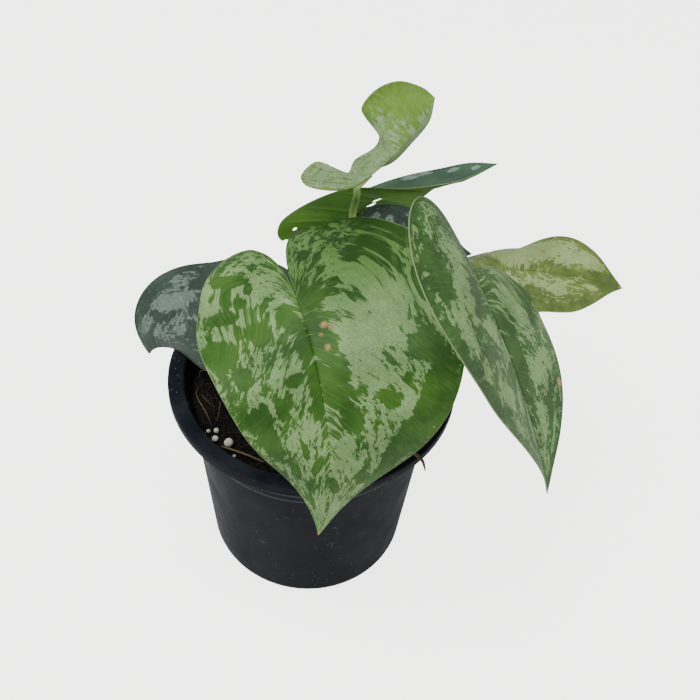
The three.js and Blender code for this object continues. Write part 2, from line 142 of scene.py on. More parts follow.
@dataclass
class Surface:
    """A mesh in the making: points in metres, faces, and a UV for each corner of each face."""

    points: np.ndarray
    faces: np.ndarray
    uv: np.ndarray

    @staticmethod
    def grid(points: np.ndarray, uv: np.ndarray | None = None, wrap_columns: bool = False,
             wrap_rows: bool = False) -> Surface:
        """Joins a grid of points with quads.

        Args:
            points: rows by columns by 3.
            uv: rows by columns by 2, or None for shares of the way along rows and columns.
            wrap_columns: whether the last column joins the first.
            wrap_rows: whether the last row joins the first.

        Returns:
            The surface, with its faces turned so that row direction cross column direction points out.
        """
        rows, columns = points.shape[:2]
        i, j = np.meshgrid(np.arange(rows - (not wrap_rows)), np.arange(columns - (not wrap_columns)),
                           indexing="ij")
        steps = ((0, 0), (1, 0), (1, 1), (0, 1))
        faces = np.stack([((i + a) % rows) * columns + (j + b) % columns for a, b in steps], -1).reshape(-1,
                                                                                                         4)
        if uv is None:
            spans = (max(rows - (not wrap_rows), 1), max(columns - (not wrap_columns), 1))
            uv = np.stack([np.stack([(i + a) / spans[0], (j + b) / spans[1]], -1) for a, b in steps], -2)
            uv = uv.reshape(-1, 4, 2)
        else:
            uv = uv.reshape(-1, 2)[faces]
        return Surface(points.reshape(-1, 3), faces, uv)

    @staticmethod
    def join(parts: list[Surface]) -> Surface:
        """Puts several surfaces in one mesh."""
        offsets = np.cumsum([0] + [len(p.points) for p in parts[:-1]])
        faces = np.vstack([p.faces + o for p, o in zip(parts, offsets)])
        return Surface(np.vstack([p.points for p in parts]), faces, np.vstack([p.uv for p in parts]))

    def weld(self, values: np.ndarray | None = None) -> tuple[Surface, np.ndarray | None]:
        """Merges points closer than a hundredth of a millimetre, and drops faces with under three corners.

        Args:
            values: values a point to carry along, or None.

        Returns:
            The merged surface, whose faces may repeat a corner, and the carried values.
        """
        keys = np.round(self.points / (0.01 * MM)).astype(np.int64)
        _, first, back = np.unique(keys, axis=0, return_index=True, return_inverse=True)
        faces = back.reshape(-1)[self.faces]
        distinct = np.array([np.sort(faces, 1)[:, k] != np.sort(faces, 1)[:, k + 1] for k in range(3)]).sum(0)
        faces, uv = faces[distinct >= 2], self.uv[distinct >= 2]
        used, faces = np.unique(faces, return_inverse=True)
        carried = None if values is None else values[first][used]
        return Surface(self.points[first][used], faces.reshape(-1, 4), uv), carried

    def to_object(self, name: str, materials: list[bpy.types.Material],
                  attributes: dict[str, np.ndarray] | None = None) -> bpy.types.Object:
        """Makes a smooth-shaded Blender object at the origin.

        Args:
            name: the piece's name.
            materials: its materials; faces take the first.
            attributes: float values a point, by name.

        Returns:
            The object, linked to the scene.
        """
        corners = np.ones(self.faces.shape, bool)
        corners[:, 1:] &= self.faces[:, 1:] != self.faces[:, :-1]
        corners[:, 3] &= self.faces[:, 3] != self.faces[:, 0]
        sizes = corners.sum(1)
        mesh = bpy.data.meshes.new(name)
        mesh.vertices.add(len(self.points))
        mesh.vertices.foreach_set("co", self.points.astype(np.float32).ravel())
        mesh.loops.add(int(sizes.sum()))
        mesh.loops.foreach_set("vertex_index", self.faces[corners].astype(np.int32))
        mesh.polygons.add(len(self.faces))
        starts = np.concatenate([[0], np.cumsum(sizes)[:-1]])
        mesh.polygons.foreach_set("loop_start", starts.astype(np.int32))
        layer = mesh.uv_layers.new(name="UVMap")
        layer.data.foreach_set("uv", self.uv[corners].astype(np.float32).ravel())
        for key, values in (attributes or {}).items():
            mesh.attributes.new(key, "FLOAT", "POINT").data.foreach_set("value", values.astype(np.float32))
        mesh.update(calc_edges=True)
        mesh.validate(clean_customdata=False)
        mesh.polygons.foreach_set("use_smooth", np.ones(len(mesh.polygons), bool))
        for material in materials:
            mesh.materials.append(material)
        obj = bpy.data.objects.new(name, mesh)
        bpy.context.scene.collection.objects.link(obj)
        return obj


def tube(route: np.ndarray, radii: np.ndarray, steps: int, sides: int, groove: float = 0.0,
         curve: bool = True) -> Surface:
    """Carries a round section along a curve and closes both ends on the curve.

    The section's frame is the tangent, its cross product with the direction that the curve turns in least,
    and their cross product, so it never spins. A groove runs along the side that faces up.

    Args:
        route: the curve's points, in millimetres.
        radii: radii at even shares of the way, in millimetres.
        steps: rings along the curve.
        sides: corners round the section.
        groove: depth of the groove, as a share of the radius.
        curve: whether to smooth the route, or follow its points as they are.

    Returns:
        The closed surface, with u along and v round it.
    """
    t = np.linspace(0.0, 1.0, steps)
    line = catmull(route, t) if curve else np.asarray(route, float)
    tangent = unit(np.gradient(line, axis=0))
    aside = np.linalg.svd(tangent, full_matrices=False)[2][-1] if steps > 2 else np.array([0.0, 0.0, 1.0])
    first = unit(np.cross(tangent, aside))
    second = np.cross(tangent, first)
    angle = np.linspace(0.0, 2 * math.pi, sides, endpoint=False)
    radius = catmull(np.asarray(radii, float)[:, None], t)[:, 0]
    around = first[:, None] * np.cos(angle)[None, :, None] + second[:, None] * np.sin(angle)[None, :, None]
    if groove:
        radius = radius[:, None] * (1.0 - groove * np.clip(around[..., 2], 0, 1) ** 6)
    else:
        radius = np.repeat(radius[:, None], sides, 1)
    rings = line[:, None] + around * radius[..., None]
    ends = [np.repeat(line[k][None, None], sides, 1) for k in (0, -1)]
    rings = np.concatenate([ends[0], rings, ends[1]], 0)
    return Surface.grid(rings * MM, wrap_columns=True)


def revolve(profile: np.ndarray, sides: int) -> Surface:
    """Turns [radius, height] points in millimetres once round Z, bottom outside to top to inside."""
    angle = np.linspace(0.0, 2 * math.pi, sides, endpoint=False)
    r, z = np.asarray(profile, float).T
    ring = np.stack([r[:, None] * np.cos(angle), r[:, None] * np.sin(angle),
                     np.repeat(z[:, None], sides, 1)], -1)
    return Surface.grid(np.swapaxes(ring, 0, 1) * MM, wrap_rows=True)


def round_profile(points: list[tuple[float, float, float]], arc_steps: int = 5) -> np.ndarray:
    """Rounds the corners of a profile.

    Each corner with a radius is replaced by a quadratic curve that leaves one side and meets the other at
    that distance from the corner, shortened to half of either side where that is less.

    Args:
        points: radius, height and rounding distance of each corner, in millimetres.
        arc_steps: points on each rounded corner.

    Returns:
        The profile's points.
    """
    p = np.array([q[:2] for q in points], float)
    result = [p[:1]]
    for k in range(1, len(p) - 1):
        before, after = p[k - 1] - p[k], p[k + 1] - p[k]
        reach = min(points[k][2], 0.5 * np.linalg.norm(before), 0.5 * np.linalg.norm(after))
        t = np.linspace(0.0, 1.0, arc_steps)[:, None]
        start, end = p[k] + unit(before) * reach, p[k] + unit(after) * reach
        result.append((1 - t) ** 2 * start + 2 * t * (1 - t) * p[k] + t ** 2 * end if reach > 0 else p[k:k + 1])
    result.append(p[-1:])
    return np.vstack(result)


# ---------------------------------------------------------------- materials


Socket = bpy.types.NodeSocket

# Where the plain arguments of add() go, and what a node starts from, by the node's type.
SOCKETS = {
    "MapRange": ("Value", "From Min", "From Max", "To Min", "To Max"),
    "Mix": (0, 6, 7),
    "Math": (0, 1),
    "Mapping": ("Vector", "Scale", "Location"),
    "TexNoise": ("Vector", "Scale", "Detail", "Roughness", "Distortion"),
    "TexVoronoi": ("Vector", "Scale"),
    "Bump": ("Height", "Distance", "Strength", "Normal"),
    "SeparateXYZ": ("Vector",),
}
STARTS = {
    "MapRange": {"interpolation_type": "SMOOTHSTEP"},
    "Mix": {"data_type": "RGBA"},
    "TexNoise": {"Detail": 3.0, "Roughness": 0.55},
}


def add(tree: bpy.types.NodeTree, kind: str, *values: Socket | float | str | tuple, out: int | str = 0,
        **settings: float | str) -> Socket:
    """Adds a shader node, sets it and links it.

    Args:
        tree: the material's tree.
        kind: the node's type name without the ShaderNode prefix; a Math node's operation follows a colon.
        values: a number, a hex colour or an output socket for each of the kind's SOCKETS.
        out: which output to give, by name or number.
        settings: the node's own properties, or plain values of its inputs.

    Returns:
        The node's output socket.
    """
    kind, _, operation = kind.partition(":")
    node = tree.nodes.new("ShaderNode" + kind)
    if operation:
        node.operation = operation
    for key, value in {**STARTS.get(kind, {}), **settings}.items():
        if key in node.inputs:
            node.inputs[key].default_value = value
        else:
            setattr(node, key, value)
    for key, value in zip(SOCKETS.get(kind, ()), values):
        if isinstance(value, Socket):
            tree.links.new(value, node.inputs[key])
        else:
            node.inputs[key].default_value = linear(value) if isinstance(value, str) else value
    return node.outputs[2 if kind == "Mix" else out]


def start_material(name: str, ior: float, roughness: float, **fixed: float
                   ) -> tuple[bpy.types.Material, bpy.types.NodeTree, bpy.types.Node]:
    """A new material with a Principled shader joined to its output.

    Args:
        name: the material's name.
        ior: index of refraction.
        roughness: even roughness; a finish may link its own.
        fixed: other Principled inputs that are the same all over, by name with underscores.

    Returns:
        The material, its tree and the Principled node.
    """
    material = bpy.data.materials.new(name)
    material.use_nodes = True
    tree = material.node_tree
    shader = tree.nodes["Principled BSDF"]
    shader.inputs["IOR"].default_value = ior
    shader.inputs["Roughness"].default_value = roughness
    for key, value in fixed.items():
        shader.inputs[key.replace("_", " ")].default_value = value
    return material, tree, shader


def object_coords(tree: bpy.types.NodeTree, scale: tuple[float, float, float] = (1, 1, 1)) -> Socket:
    """Object coordinates stretched by a scale, as a socket."""
    place = add(tree, "TexCoord", out="Object")
    return add(tree, "Mapping", place, scale)


@dataclass(frozen=True)
class LeafFinish:
    """Living leaf blade: a waxy satin skin, green cells, and silver patches where air lies under the skin."""

    name: str
    green_deep: str
    green_light: str
    silver_deep: str
    silver_light: str
    margin: str = "aebd8c"
    under: str = "55793a"
    roughness: float = 0.48
    streaks: float = 0.12  # how far the pale veining shows
    wild: float = 1.0  # how far noise breaks the patches up
    fine: float = 200.0  # vein streaks across the blade
    lines: float = 0.22  # how far the dark veining shows
    # The green that the painted shade darkens the blade to.
    green_shade: str = "1c3c10"
    seed: float = 0.0

    def upper(self) -> bpy.types.Material:
        """The upper face: patches stretched along the veins, painted shade, pale margin, dry tip and the odd sore
        spot.
        """
        material, tree, shader = start_material(f"{self.name}_upper", 1.42, self.roughness,
                                                Specular_IOR_Level=0.27)
        uv = add(tree, "UVMap", uv_map="UVMap")

        def along_veins(across: float, along: float, detail: float, distortion: float) -> Socket:
            """Noise on the blade's own UV, drawn out along the veins and moved by the leaf's seed."""
            place = add(tree, "Mapping", uv, (across, along, 1.0), (self.seed, 0.37 * self.seed, 0.0))
            return add(tree, "TexNoise", place, 1.0, detail, 0.55, distortion)

        def swing(value: Socket, amount: float) -> Socket:
            """Noise from 0 to 1 as a swing to either side of nothing."""
            return add(tree, "Math:MULTIPLY", add(tree, "Math:SUBTRACT", value, 0.5), amount)

        silver, dull, edge, dry, glow = (add(tree, "Attribute", out="Fac", attribute_name=name)
                                         for name in ("silver", "dull", "edge", "dry", "glow"))
        ragged = along_veins(80.0, 30.0, 3.0, 0.9)
        field = add(tree, "Math:ADD", silver, swing(along_veins(26.0, 14.0, 2.0, 0.8), 1.8 * self.wild))
        field = add(tree, "Math:ADD", field, swing(ragged, 2.0 * self.wild))
        sage, patch = add(tree, "MapRange", field, 0.36, 0.42), add(tree, "MapRange", field, 0.52, 0.57)
        veining = along_veins(self.fine, 12.0, 2.0, 0.0)
        mottle = add(tree, "TexNoise", object_coords(tree), 60.0, 3.0, 0.6)
        green = add(tree, "Mix", add(tree, "MapRange", mottle, 0.3, 0.7), self.green_deep, self.green_light)
        bloom = add(tree, "TexNoise", object_coords(tree), 1300.0, 2.0, 0.6)
        grey = add(tree, "Mix", add(tree, "MapRange", mottle, 0.3, 0.72), self.silver_deep, self.silver_light)
        grey = add(tree, "Mix", add(tree, "MapRange", bloom, 0.5, 0.72, 0.0, 0.3), grey, "c6d6ae")
        grey = add(tree, "Mix", add(tree, "MapRange", bloom, 0.48, 0.3, 0.0, 0.3), grey, self.green_light)
        # Painted shade: where this attribute is high the silver fades to plain green and the green darkens to the
        # shade green.
        grey = add(tree, "Mix", dull, grey, self.green_light)
        green = add(tree, "Mix", dull, green, self.green_shade)
        colour = add(tree, "Mix", add(tree, "Math:MULTIPLY", sage, 0.3), green, self.silver_deep)
        colour = add(tree, "Mix", patch, colour, grey)
        colour = add(tree, "Mix", add(tree, "MapRange", veining, 0.45, 0.75, 0.0, self.streaks), colour,
                     self.silver_light)
        colour = add(tree, "Mix", add(tree, "MapRange", veining, 0.5, 0.25, 0.0, self.lines), colour,
                     self.green_deep)
        colour = add(tree, "Mix", glow, colour, self.green_light)
        v = add(tree, "SeparateXYZ", uv, out="Y")
        across = add(tree, "Math:ABSOLUTE", add(tree, "Math:SUBTRACT", v, 0.5))
        rim = add(tree, "Math:MULTIPLY", edge, add(tree, "MapRange", across, 0.4935, 0.498, 0.0, 0.5))
        colour = add(tree, "Mix", rim, colour, self.margin)
        sore = add(tree, "Math:ADD", dry, swing(ragged, 0.6))
        colour = add(tree, "Mix", add(tree, "MapRange", sore, 0.12, 0.4, 0.0, 0.7), colour, "a3a04a")
        colour = add(tree, "Mix", add(tree, "MapRange", sore, 0.42, 0.55), colour, "7a5c36")
        colour = add(tree, "Mix", add(tree, "MapRange", sore, 0.6, 0.8), colour, "ad8f64")
        tree.links.new(colour, shader.inputs["Base Color"])
        tree.links.new(add(tree, "MapRange", patch, 0.0, 1.0, self.roughness, self.roughness + 0.08),
                       shader.inputs["Roughness"])
        relief = add(tree, "Bump", veining, 0.05 * MM, 0.5)
        tree.links.new(add(tree, "Bump", patch, 0.025 * MM, 0.5, relief), shader.inputs["Normal"])
        return material

    def lower(self) -> bpy.types.Material:
        """The underside: one plain green with fine veins and no patches."""
        material, tree, shader = start_material(f"{self.name}_lower", 1.42, 0.55, Specular_IOR_Level=0.3)
        uv = add(tree, "UVMap", uv_map="UVMap")
        lines = add(tree, "Mapping", uv, (90.0, 3.0, 1.0))
        veining = add(tree, "TexNoise", lines, 1.0, 2.0, 0.6)
        mottle = add(tree, "TexNoise", object_coords(tree), 60.0, 2.0)
        colour = add(tree, "Mix", add(tree, "MapRange", mottle, 0.3, 0.7, 0.0, 0.35), self.under,
                     self.green_deep)
        colour = add(tree, "Mix", add(tree, "MapRange", veining, 0.55, 0.8, 0.0, 0.16), colour, self.margin)
        tree.links.new(colour, shader.inputs["Base Color"])
        tree.links.new(add(tree, "Bump", veining, 0.08 * MM, 0.6), shader.inputs["Normal"])
        return material


@dataclass(frozen=True)
class PlasticFinish:
    """Injection-moulded polypropylene: blue-black, satin, with scuffs, scratches, dust and dried water marks, and
    painted highlight rings at the mould steps and painted light on the rim's top.
    """

    name: str = "nursery_polypropylene"
    body: str = "0a0e16"
    # Scuffs and scratches take this colour; so do the painted highlight rings and the painted light on the rim's top.
    wear_and_highlight: str = "474c55"
    dust: str = "8f8e88"
    rings: tuple[float, ...] = (0.0868, 0.0908, 0.0953, 0.1014)  # metres above the base, where thin painted highlight rings run round the wall below the lip

    def make(self) -> bpy.types.Material:
        """Low sheen with a slow waviness, painted highlight rings, level scuffs, curled scratches, mineral specks and
        painted light on the rim's top.
        """
        material, tree, shader = start_material(self.name, 1.49, 0.42, Specular_IOR_Level=0.06)
        place = object_coords(tree)
        cloud = add(tree, "TexNoise", place, 45.0, 4.0, 0.6)
        scuff = add(tree, "TexNoise", object_coords(tree, (120.0, 120.0, 700.0)), 1.0, 2.0, 0.5)
        sparse = add(tree, "TexNoise", place, 90.0, 2.0)
        marks = add(tree, "Math:MULTIPLY", add(tree, "MapRange", scuff, 0.68, 0.76),
                    add(tree, "MapRange", sparse, 0.52, 0.62))
        colour = add(tree, "Mix", add(tree, "MapRange", cloud, 0.35, 0.75), self.body, "10151e")
        colour = add(tree, "Mix", add(tree, "Math:MULTIPLY", marks, 0.55), colour, self.wear_and_highlight)
        curl = add(tree, "Math:ABSOLUTE",
                   add(tree, "Math:SUBTRACT", add(tree, "TexNoise", place, 130.0, 1.0, 0.5, 0.8), 0.5))
        scratch = add(tree, "Math:MULTIPLY", add(tree, "MapRange", curl, 0.012, 0.005),
                        add(tree, "MapRange", add(tree, "TexNoise", place, 150.0, 1.0), 0.6, 0.66))
        colour = add(tree, "Mix", add(tree, "Math:MULTIPLY", scratch, 0.6), colour, self.wear_and_highlight)
        height = add(tree, "SeparateXYZ", place, out="Z")
        # Painted highlights: a thin lighter ring at each of these heights, standing in for light caught by the mould
        # steps.
        for level in self.rings:
            away = add(tree, "Math:ABSOLUTE", add(tree, "Math:SUBTRACT", height, level))
            line = add(tree, "Math:MULTIPLY", add(tree, "MapRange", away, 0.0007, 0.0003),
                       add(tree, "MapRange", cloud, 0.35, 0.6, 0.5, 0.9))
            colour = add(tree, "Mix", line, colour, self.wear_and_highlight)
        specks = add(tree, "TexVoronoi", place, 420.0, out="Distance")
        spread = add(tree, "TexNoise", place, 60.0, 2.0)
        dust = add(tree, "Math:MULTIPLY", add(tree, "MapRange", specks, 0.15, 0.06),
                   add(tree, "MapRange", spread, 0.5, 0.6))
        colour = add(tree, "Mix", add(tree, "Math:MULTIPLY", dust, 0.6), colour, self.dust)
        # Painted light: the rim's top is lightened in soft blotches.
        painted_rim_light = add(tree, "Math:MULTIPLY", add(tree, "MapRange", height, 0.1075, 0.1095),
                   add(tree, "MapRange", cloud, 0.3, 0.7, 0.08, 0.3))
        colour = add(tree, "Mix", painted_rim_light, colour, self.wear_and_highlight)
        tree.links.new(colour, shader.inputs["Base Color"])
        tree.links.new(add(tree, "MapRange", cloud, 0.3, 0.8, 0.36, 0.52), shader.inputs["Roughness"])
        grain = add(tree, "TexNoise", place, 1400.0, 2.0)
        normal = add(tree, "Bump", grain, 0.02 * MM, 0.35)
        tree.links.new(add(tree, "Bump", cloud, 0.25 * MM, 0.25, normal), shader.inputs["Normal"])
        return material


@dataclass(frozen=True)
class EarthFinish:
    """Damp coco and peat: near-black crumbs with brown and tan flecks, and no gloss."""

    name: str
    dark: str
    brown: str
    tan: str
    grain: float = 900.0

    def make(self) -> bpy.types.Material:
        """Three browns by noise at crumb size, over a rough bump."""
        material, tree, shader = start_material(self.name, 1.4, 0.92)
        place = object_coords(tree)
        crumbs = add(tree, "TexNoise", place, self.grain, 4.0, 0.7)
        clods = add(tree, "TexNoise", place, self.grain / 5, 3.0, 0.6)
        colour = add(tree, "Mix", add(tree, "MapRange", clods, 0.4, 0.7), self.dark, self.brown)
        colour = add(tree, "Mix", add(tree, "MapRange", crumbs, 0.6, 0.74), colour, self.tan)
        tree.links.new(colour, shader.inputs["Base Color"])
        tree.links.new(add(tree, "Bump", crumbs, 0.5 * MM, 1.0), shader.inputs["Normal"])
        return material


@dataclass(frozen=True)
class StalkFinish:
    """Green stem tissue: smooth, faintly ribbed along its length, with pale and darker flecks."""

    name: str
    main: str
    pale: str
    dark: str
    roughness: float = 0.45

    def make(self) -> bpy.types.Material:
        """Long streaks on the tube's own UV, and short pale flecks."""
        material, tree, shader = start_material(self.name, 1.42, self.roughness)
        uv = add(tree, "UVMap", uv_map="UVMap")
        streak = add(tree, "TexNoise", add(tree, "Mapping", uv, (3.0, 22.0, 1.0)), 1.0, 3.0)
        fleck = add(tree, "TexNoise", object_coords(tree), 900.0, 2.0)
        colour = add(tree, "Mix", add(tree, "MapRange", streak, 0.3, 0.7), self.main, self.pale)
        colour = add(tree, "Mix", add(tree, "MapRange", fleck, 0.62, 0.72, 0.0, 0.5), colour, self.pale)
        colour = add(tree, "Mix", add(tree, "MapRange", fleck, 0.38, 0.28, 0.0, 0.5), colour, self.dark)
        tree.links.new(colour, shader.inputs["Base Color"])
        tree.links.new(add(tree, "Bump", streak, 0.1 * MM, 0.6), shader.inputs["Normal"])
        return material


@dataclass(frozen=True)
class FloorFinish:
    """Matt white studio paper."""

    name: str = "studio_paper"
    colour: str = "f4f4f2"
    glow: float = 3.5

    def make(self) -> bpy.types.Material:
        """Even white that burns out to the camera alone, with a barely visible fibre bump."""
        material, tree, shader = start_material(self.name, 1.45, 0.9)
        shader.inputs["Base Color"].default_value = linear(self.colour)
        shader.inputs["Emission Color"].default_value = linear(self.colour)
        seen = add(tree, "LightPath", out="Is Camera Ray")
        tree.links.new(add(tree, "Math:MULTIPLY", seen, self.glow), shader.inputs["Emission Strength"])
        tree.links.new(add(tree, "Bump", add(tree, "TexNoise", object_coords(tree), 700.0), 0.02 * MM, 0.2),
                       shader.inputs["Normal"])
        return material


# ---------------------------------------------------------------- placing


def publish(piece: bpy.types.Object, node: str) -> bpy.types.Object:
    """Hangs a finished piece on the one body, hides the CAD node it stands for and logs which node that is."""
    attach(piece, "root")
    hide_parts(node)
    log.info("%s stands for %s", piece.name, node)
    return piece


def ground() -> np.ndarray:
    """The centre of the soil's surface in millimetres, from the pot's box."""
    return np.array([0.0, 0.0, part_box("pot")[1][2] / MM - SOIL_DROP])


# ---------------------------------------------------------------- pot


@dataclass
class NurseryPot:
    """A thin round pot with a flat flange, a short lip, two fine mould steps and drain holes."""

    base_radius: float = 46.3
    wall_radius: float = 54.6
    flange: float = 6.8
    lip: float = 4.3
    wall: float = 1.3
    foot: float = 4.0
    shoulder: float = 104.0
    floor: float = 1.7
    step_heights: tuple[float, float] = (95.0, 101.0)
    step_out: float = 0.4
    drain_circle: float = 36.0
    drain_radius: float = 4.0
    drains: int = 8
    sides: int = 240

    def profile(self) -> np.ndarray:
        """Bottom centre, outside up to the lip, over the flange and down the inside, with rounded corners."""
        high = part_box("pot")[1]
        height, rim = high[2] / MM, high[0] / MM
        inner = rim - self.flange
        lip_bottom = height - self.lip
        slope = (self.wall_radius - self.base_radius) / lip_bottom

        def outside(z: float) -> float:
            """The outer wall's radius at a height, which widens at each mould step below it."""
            return self.base_radius + slope * z + self.step_out * sum(z > s for s in self.step_heights)

        points = [(0, 0, 0), (self.base_radius - 2.0, 0, 0.6), (outside(self.foot), self.foot, 3.0)]
        for z in self.step_heights:
            points += [(outside(z), z, 0.1), (outside(z + 0.01) + 0.02, z + 0.35, 0.12)]
        points += [(outside(self.shoulder), self.shoulder, 2.0),
                   (inner + self.wall, height - self.wall - 0.4, 0.6),
                   (rim - self.wall, height - self.wall, 0.5), (rim - self.wall, lip_bottom, 0.25),
                   (rim, lip_bottom, 0.35), (rim, height, 1.1), (inner, height, 0.7),
                   (outside(self.shoulder) - self.wall, self.shoulder, 2.0), (outside(6) - self.wall, 6, 2.0),
                   (outside(2) - 6, self.floor, 2.0), (0, self.floor, 0)]
        return round_profile(points)

    def build(self, material: bpy.types.Material) -> None:
        """Turns the profile, cuts the drain holes and publishes the pot."""
        shell, _ = revolve(self.profile(), self.sides).weld()
        pot = shell.to_object("pot_shell", [material])
        angles = (np.arange(self.drains) + 0.5) * 2 * math.pi / self.drains
        pins = []
        for a in angles:
            centre = np.array([math.cos(a), math.sin(a), 0.0]) * self.drain_circle
            pins.append(tube(np.array([centre + [0, 0, -4], centre + [0, 0, 6]]),
                             np.full(2, self.drain_radius), 2, 40))
        cutter = Surface.join(pins).weld()[0].to_object("drain_cutter", [])
        cut = pot.modifiers.new("drains", "BOOLEAN")
        cut.operation, cut.object, cut.solver = "DIFFERENCE", cutter, "EXACT"
        apply_modifiers(pot)
        bpy.data.objects.remove(cutter)
        publish(pot, "pot")


def apply_modifiers(obj: bpy.types.Object) -> None:
    """Replaces an object's mesh by its modified one and clears the modifiers."""
    evaluated = obj.evaluated_get(bpy.context.evaluated_depsgraph_get())
    mesh = bpy.data.meshes.new_from_object(evaluated)
    obj.modifiers.clear()
    obj.data = mesh


# ---------------------------------------------------------------- soil and what lies on it


@dataclass
class PottingMix:
    """Coco and peat: a lumpy surface, with loose chips and fine curled fibres lying on it."""

    chips: int = 1500
    fibres: int = 420
    seed: int = 11

    def height(self, x: np.ndarray, y: np.ndarray) -> np.ndarray:
        """The surface's height over the soil datum: a low mound with clods, crumbs and pits."""
        r = np.hypot(x, y)
        place = np.stack([x, y, np.zeros_like(x)], -1)
        mound = 1.2 * (1.0 - smoothstep(10.0, 40.0, r)) - 0.5 * smoothstep(38.0, 52.0, r)
        return mound - 0.5 + 0.9 * fractal(place, 6.0, self.seed, 5)

    def surface(self) -> Surface:
        """A disc of rings whose spacing is even, turned down at the wall and closed underneath."""
        floor_z = 2.2 - ground()[2]
        wall_r = 53.3
        rings, spokes = 155, 620
        r = np.concatenate([np.linspace(0.0, wall_r, rings), [wall_r + 0.2, 46.0, 42.0, 0.0]])
        angle = np.linspace(0.0, 2 * math.pi, spokes, endpoint=False)
        x, y = r[:, None] * np.cos(angle), r[:, None] * np.sin(angle)
        z = self.height(x, y)
        z[rings] -= 1.5
        z[rings + 1], z[rings + 2:] = floor_z + 5.0, floor_z
        points = np.stack([x, y, z], -1) + ground()
        return Surface.grid(points * MM, wrap_columns=True)

    def chip_cloud(self) -> Surface:
        """Flat splinters: small boxes pulled to a point at one end, turned and sunk at random."""
        rng = np.random.default_rng(self.seed)
        n = self.chips
        corner = np.array([(-1, -1, -1), (1, -.5, -1), (1, .5, -1), (-1, 1, -1),
                           (-1, -1, 1), (.8, -.4, .6), (.8, .4, .6), (-1, 1, 1)], float)
        quads = np.array([(3, 2, 1, 0), (4, 5, 6, 7), (0, 1, 5, 4), (1, 2, 6, 5), (2, 3, 7, 6), (3, 0, 4, 7)])
        size = np.stack([rng.uniform(.5, 2.2, n), rng.uniform(.2, .7, n), rng.uniform(.12, .4, n)], -1)
        shape = corner[None] * size[:, None] * rng.uniform(.75, 1.25, (n, 8, 3))
        yaw, tilt = rng.uniform(0, 2 * math.pi, n), rng.normal(0, .35, n)
        c, s, ct, st = np.cos(yaw), np.sin(yaw), np.cos(tilt), np.sin(tilt)
        zero = np.zeros(n)
        turn = np.stack([np.stack([c * ct, -s, c * st], -1), np.stack([s * ct, c, s * st], -1),
                         np.stack([-st, zero, ct], -1)], -2)
        radius, around = 52.0 * np.sqrt(rng.uniform(0, 1, n)), rng.uniform(0, 2 * math.pi, n)
        x, y = radius * np.cos(around), radius * np.sin(around)
        centre = np.stack([x, y, self.height(x, y) + 0.15], -1) + ground()
        points = np.einsum("nij,nkj->nki", turn, shape) + centre[:, None]
        faces = quads[None] + (np.arange(n) * 8)[:, None, None]
        return Surface(points.reshape(-1, 3) * MM, faces.reshape(-1, 4), np.zeros((n * 6, 4, 2)))

    def fibre_cloud(self) -> Surface:
        """Fine hairs: short arcs of three-sided tube that lie over the clods."""
        rng = np.random.default_rng(self.seed + 1)
        hairs = []
        for _ in range(self.fibres):
            radius, around = 50.0 * math.sqrt(rng.uniform()), rng.uniform(0, 2 * math.pi)
            heading, length = rng.uniform(0, 2 * math.pi), rng.uniform(3, 12)
            bend = rng.normal(0, 1.2)
            t = np.linspace(-0.5, 0.5, 6)
            x = radius * math.cos(around) + length * t * math.cos(heading) - bend * length * t ** 2 * math.sin(heading)
            y = radius * math.sin(around) + length * t * math.sin(heading) + bend * length * t ** 2 * math.cos(heading)
            shrink = np.minimum(1.0, 51.5 / np.maximum(np.hypot(x, y), 1e-6))
            x, y = x * shrink, y * shrink
            z = self.height(x, y) + 0.2 + rng.uniform(0, 1.6) * (1 - 4 * t ** 2)
            route = np.stack([x, y, z], -1) + ground()
            hairs.append(tube(route, np.full(3, rng.uniform(.07, .16)), 9, 3))
        return Surface.join(hairs)

    def build(self, finishes: dict[str, bpy.types.Material]) -> None:
        """Publishes the soil, its chips and its fibres."""
        soil, _ = self.surface().weld()
        publish(soil.to_object("potting_mix", [finishes["earth"]]), "soil")
        for name, cloud, finish in (("coco_chips", self.chip_cloud(), "chips"),
                                    ("peat_fibres", self.fibre_cloud(), "fibre")):
            piece = cloud.weld()[0].to_object(name, [finishes[finish]])
            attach(piece, "root")
            log.info("%s lies on the soil", name)


@dataclass(frozen=True)
class Grain:
    """One white grain: its centre over the soil and its radius, in millimetres."""

    x: float
    y: float
    z: float
    radius: float

    def surface(self, seed: int) -> Surface:
        """A ball whose radius wanders a twelfth either way, with closed poles."""
        polar, around = np.meshgrid(np.linspace(0, math.pi, 24),
                                    np.linspace(0, 2 * math.pi, 40, endpoint=False),
                                    indexing="ij")
        out = np.stack([np.sin(polar) * np.cos(around), np.sin(polar) * np.sin(around), np.cos(polar)], -1)
        radius = self.radius * (1.0 + 0.08 * fractal(out, 0.9, seed, 3))
        centre = np.array([self.x, self.y, self.z]) + ground()
        return Surface.grid((centre + out * radius[..., None]) * MM, wrap_columns=True)


GRAINS = (Grain(-40.3, -27.8, 1.15, 1.1), Grain(-43.7, -28.2, 0.95, 0.9), Grain(-40.4, -32.4, 1.4, 1.35),
          Grain(-34.4, -34.7, 1.95, 1.9), Grain(-31.6, -41.0, 0.85, 0.8))


@dataclass(frozen=True)
class Strand:
    """A dry stalk or fibre: the CAD node it stands for, its route over the soil and its radii."""

    piece: str
    node: str
    radii: tuple[float, ...]
    route: tuple[tuple[float, float, float], ...]


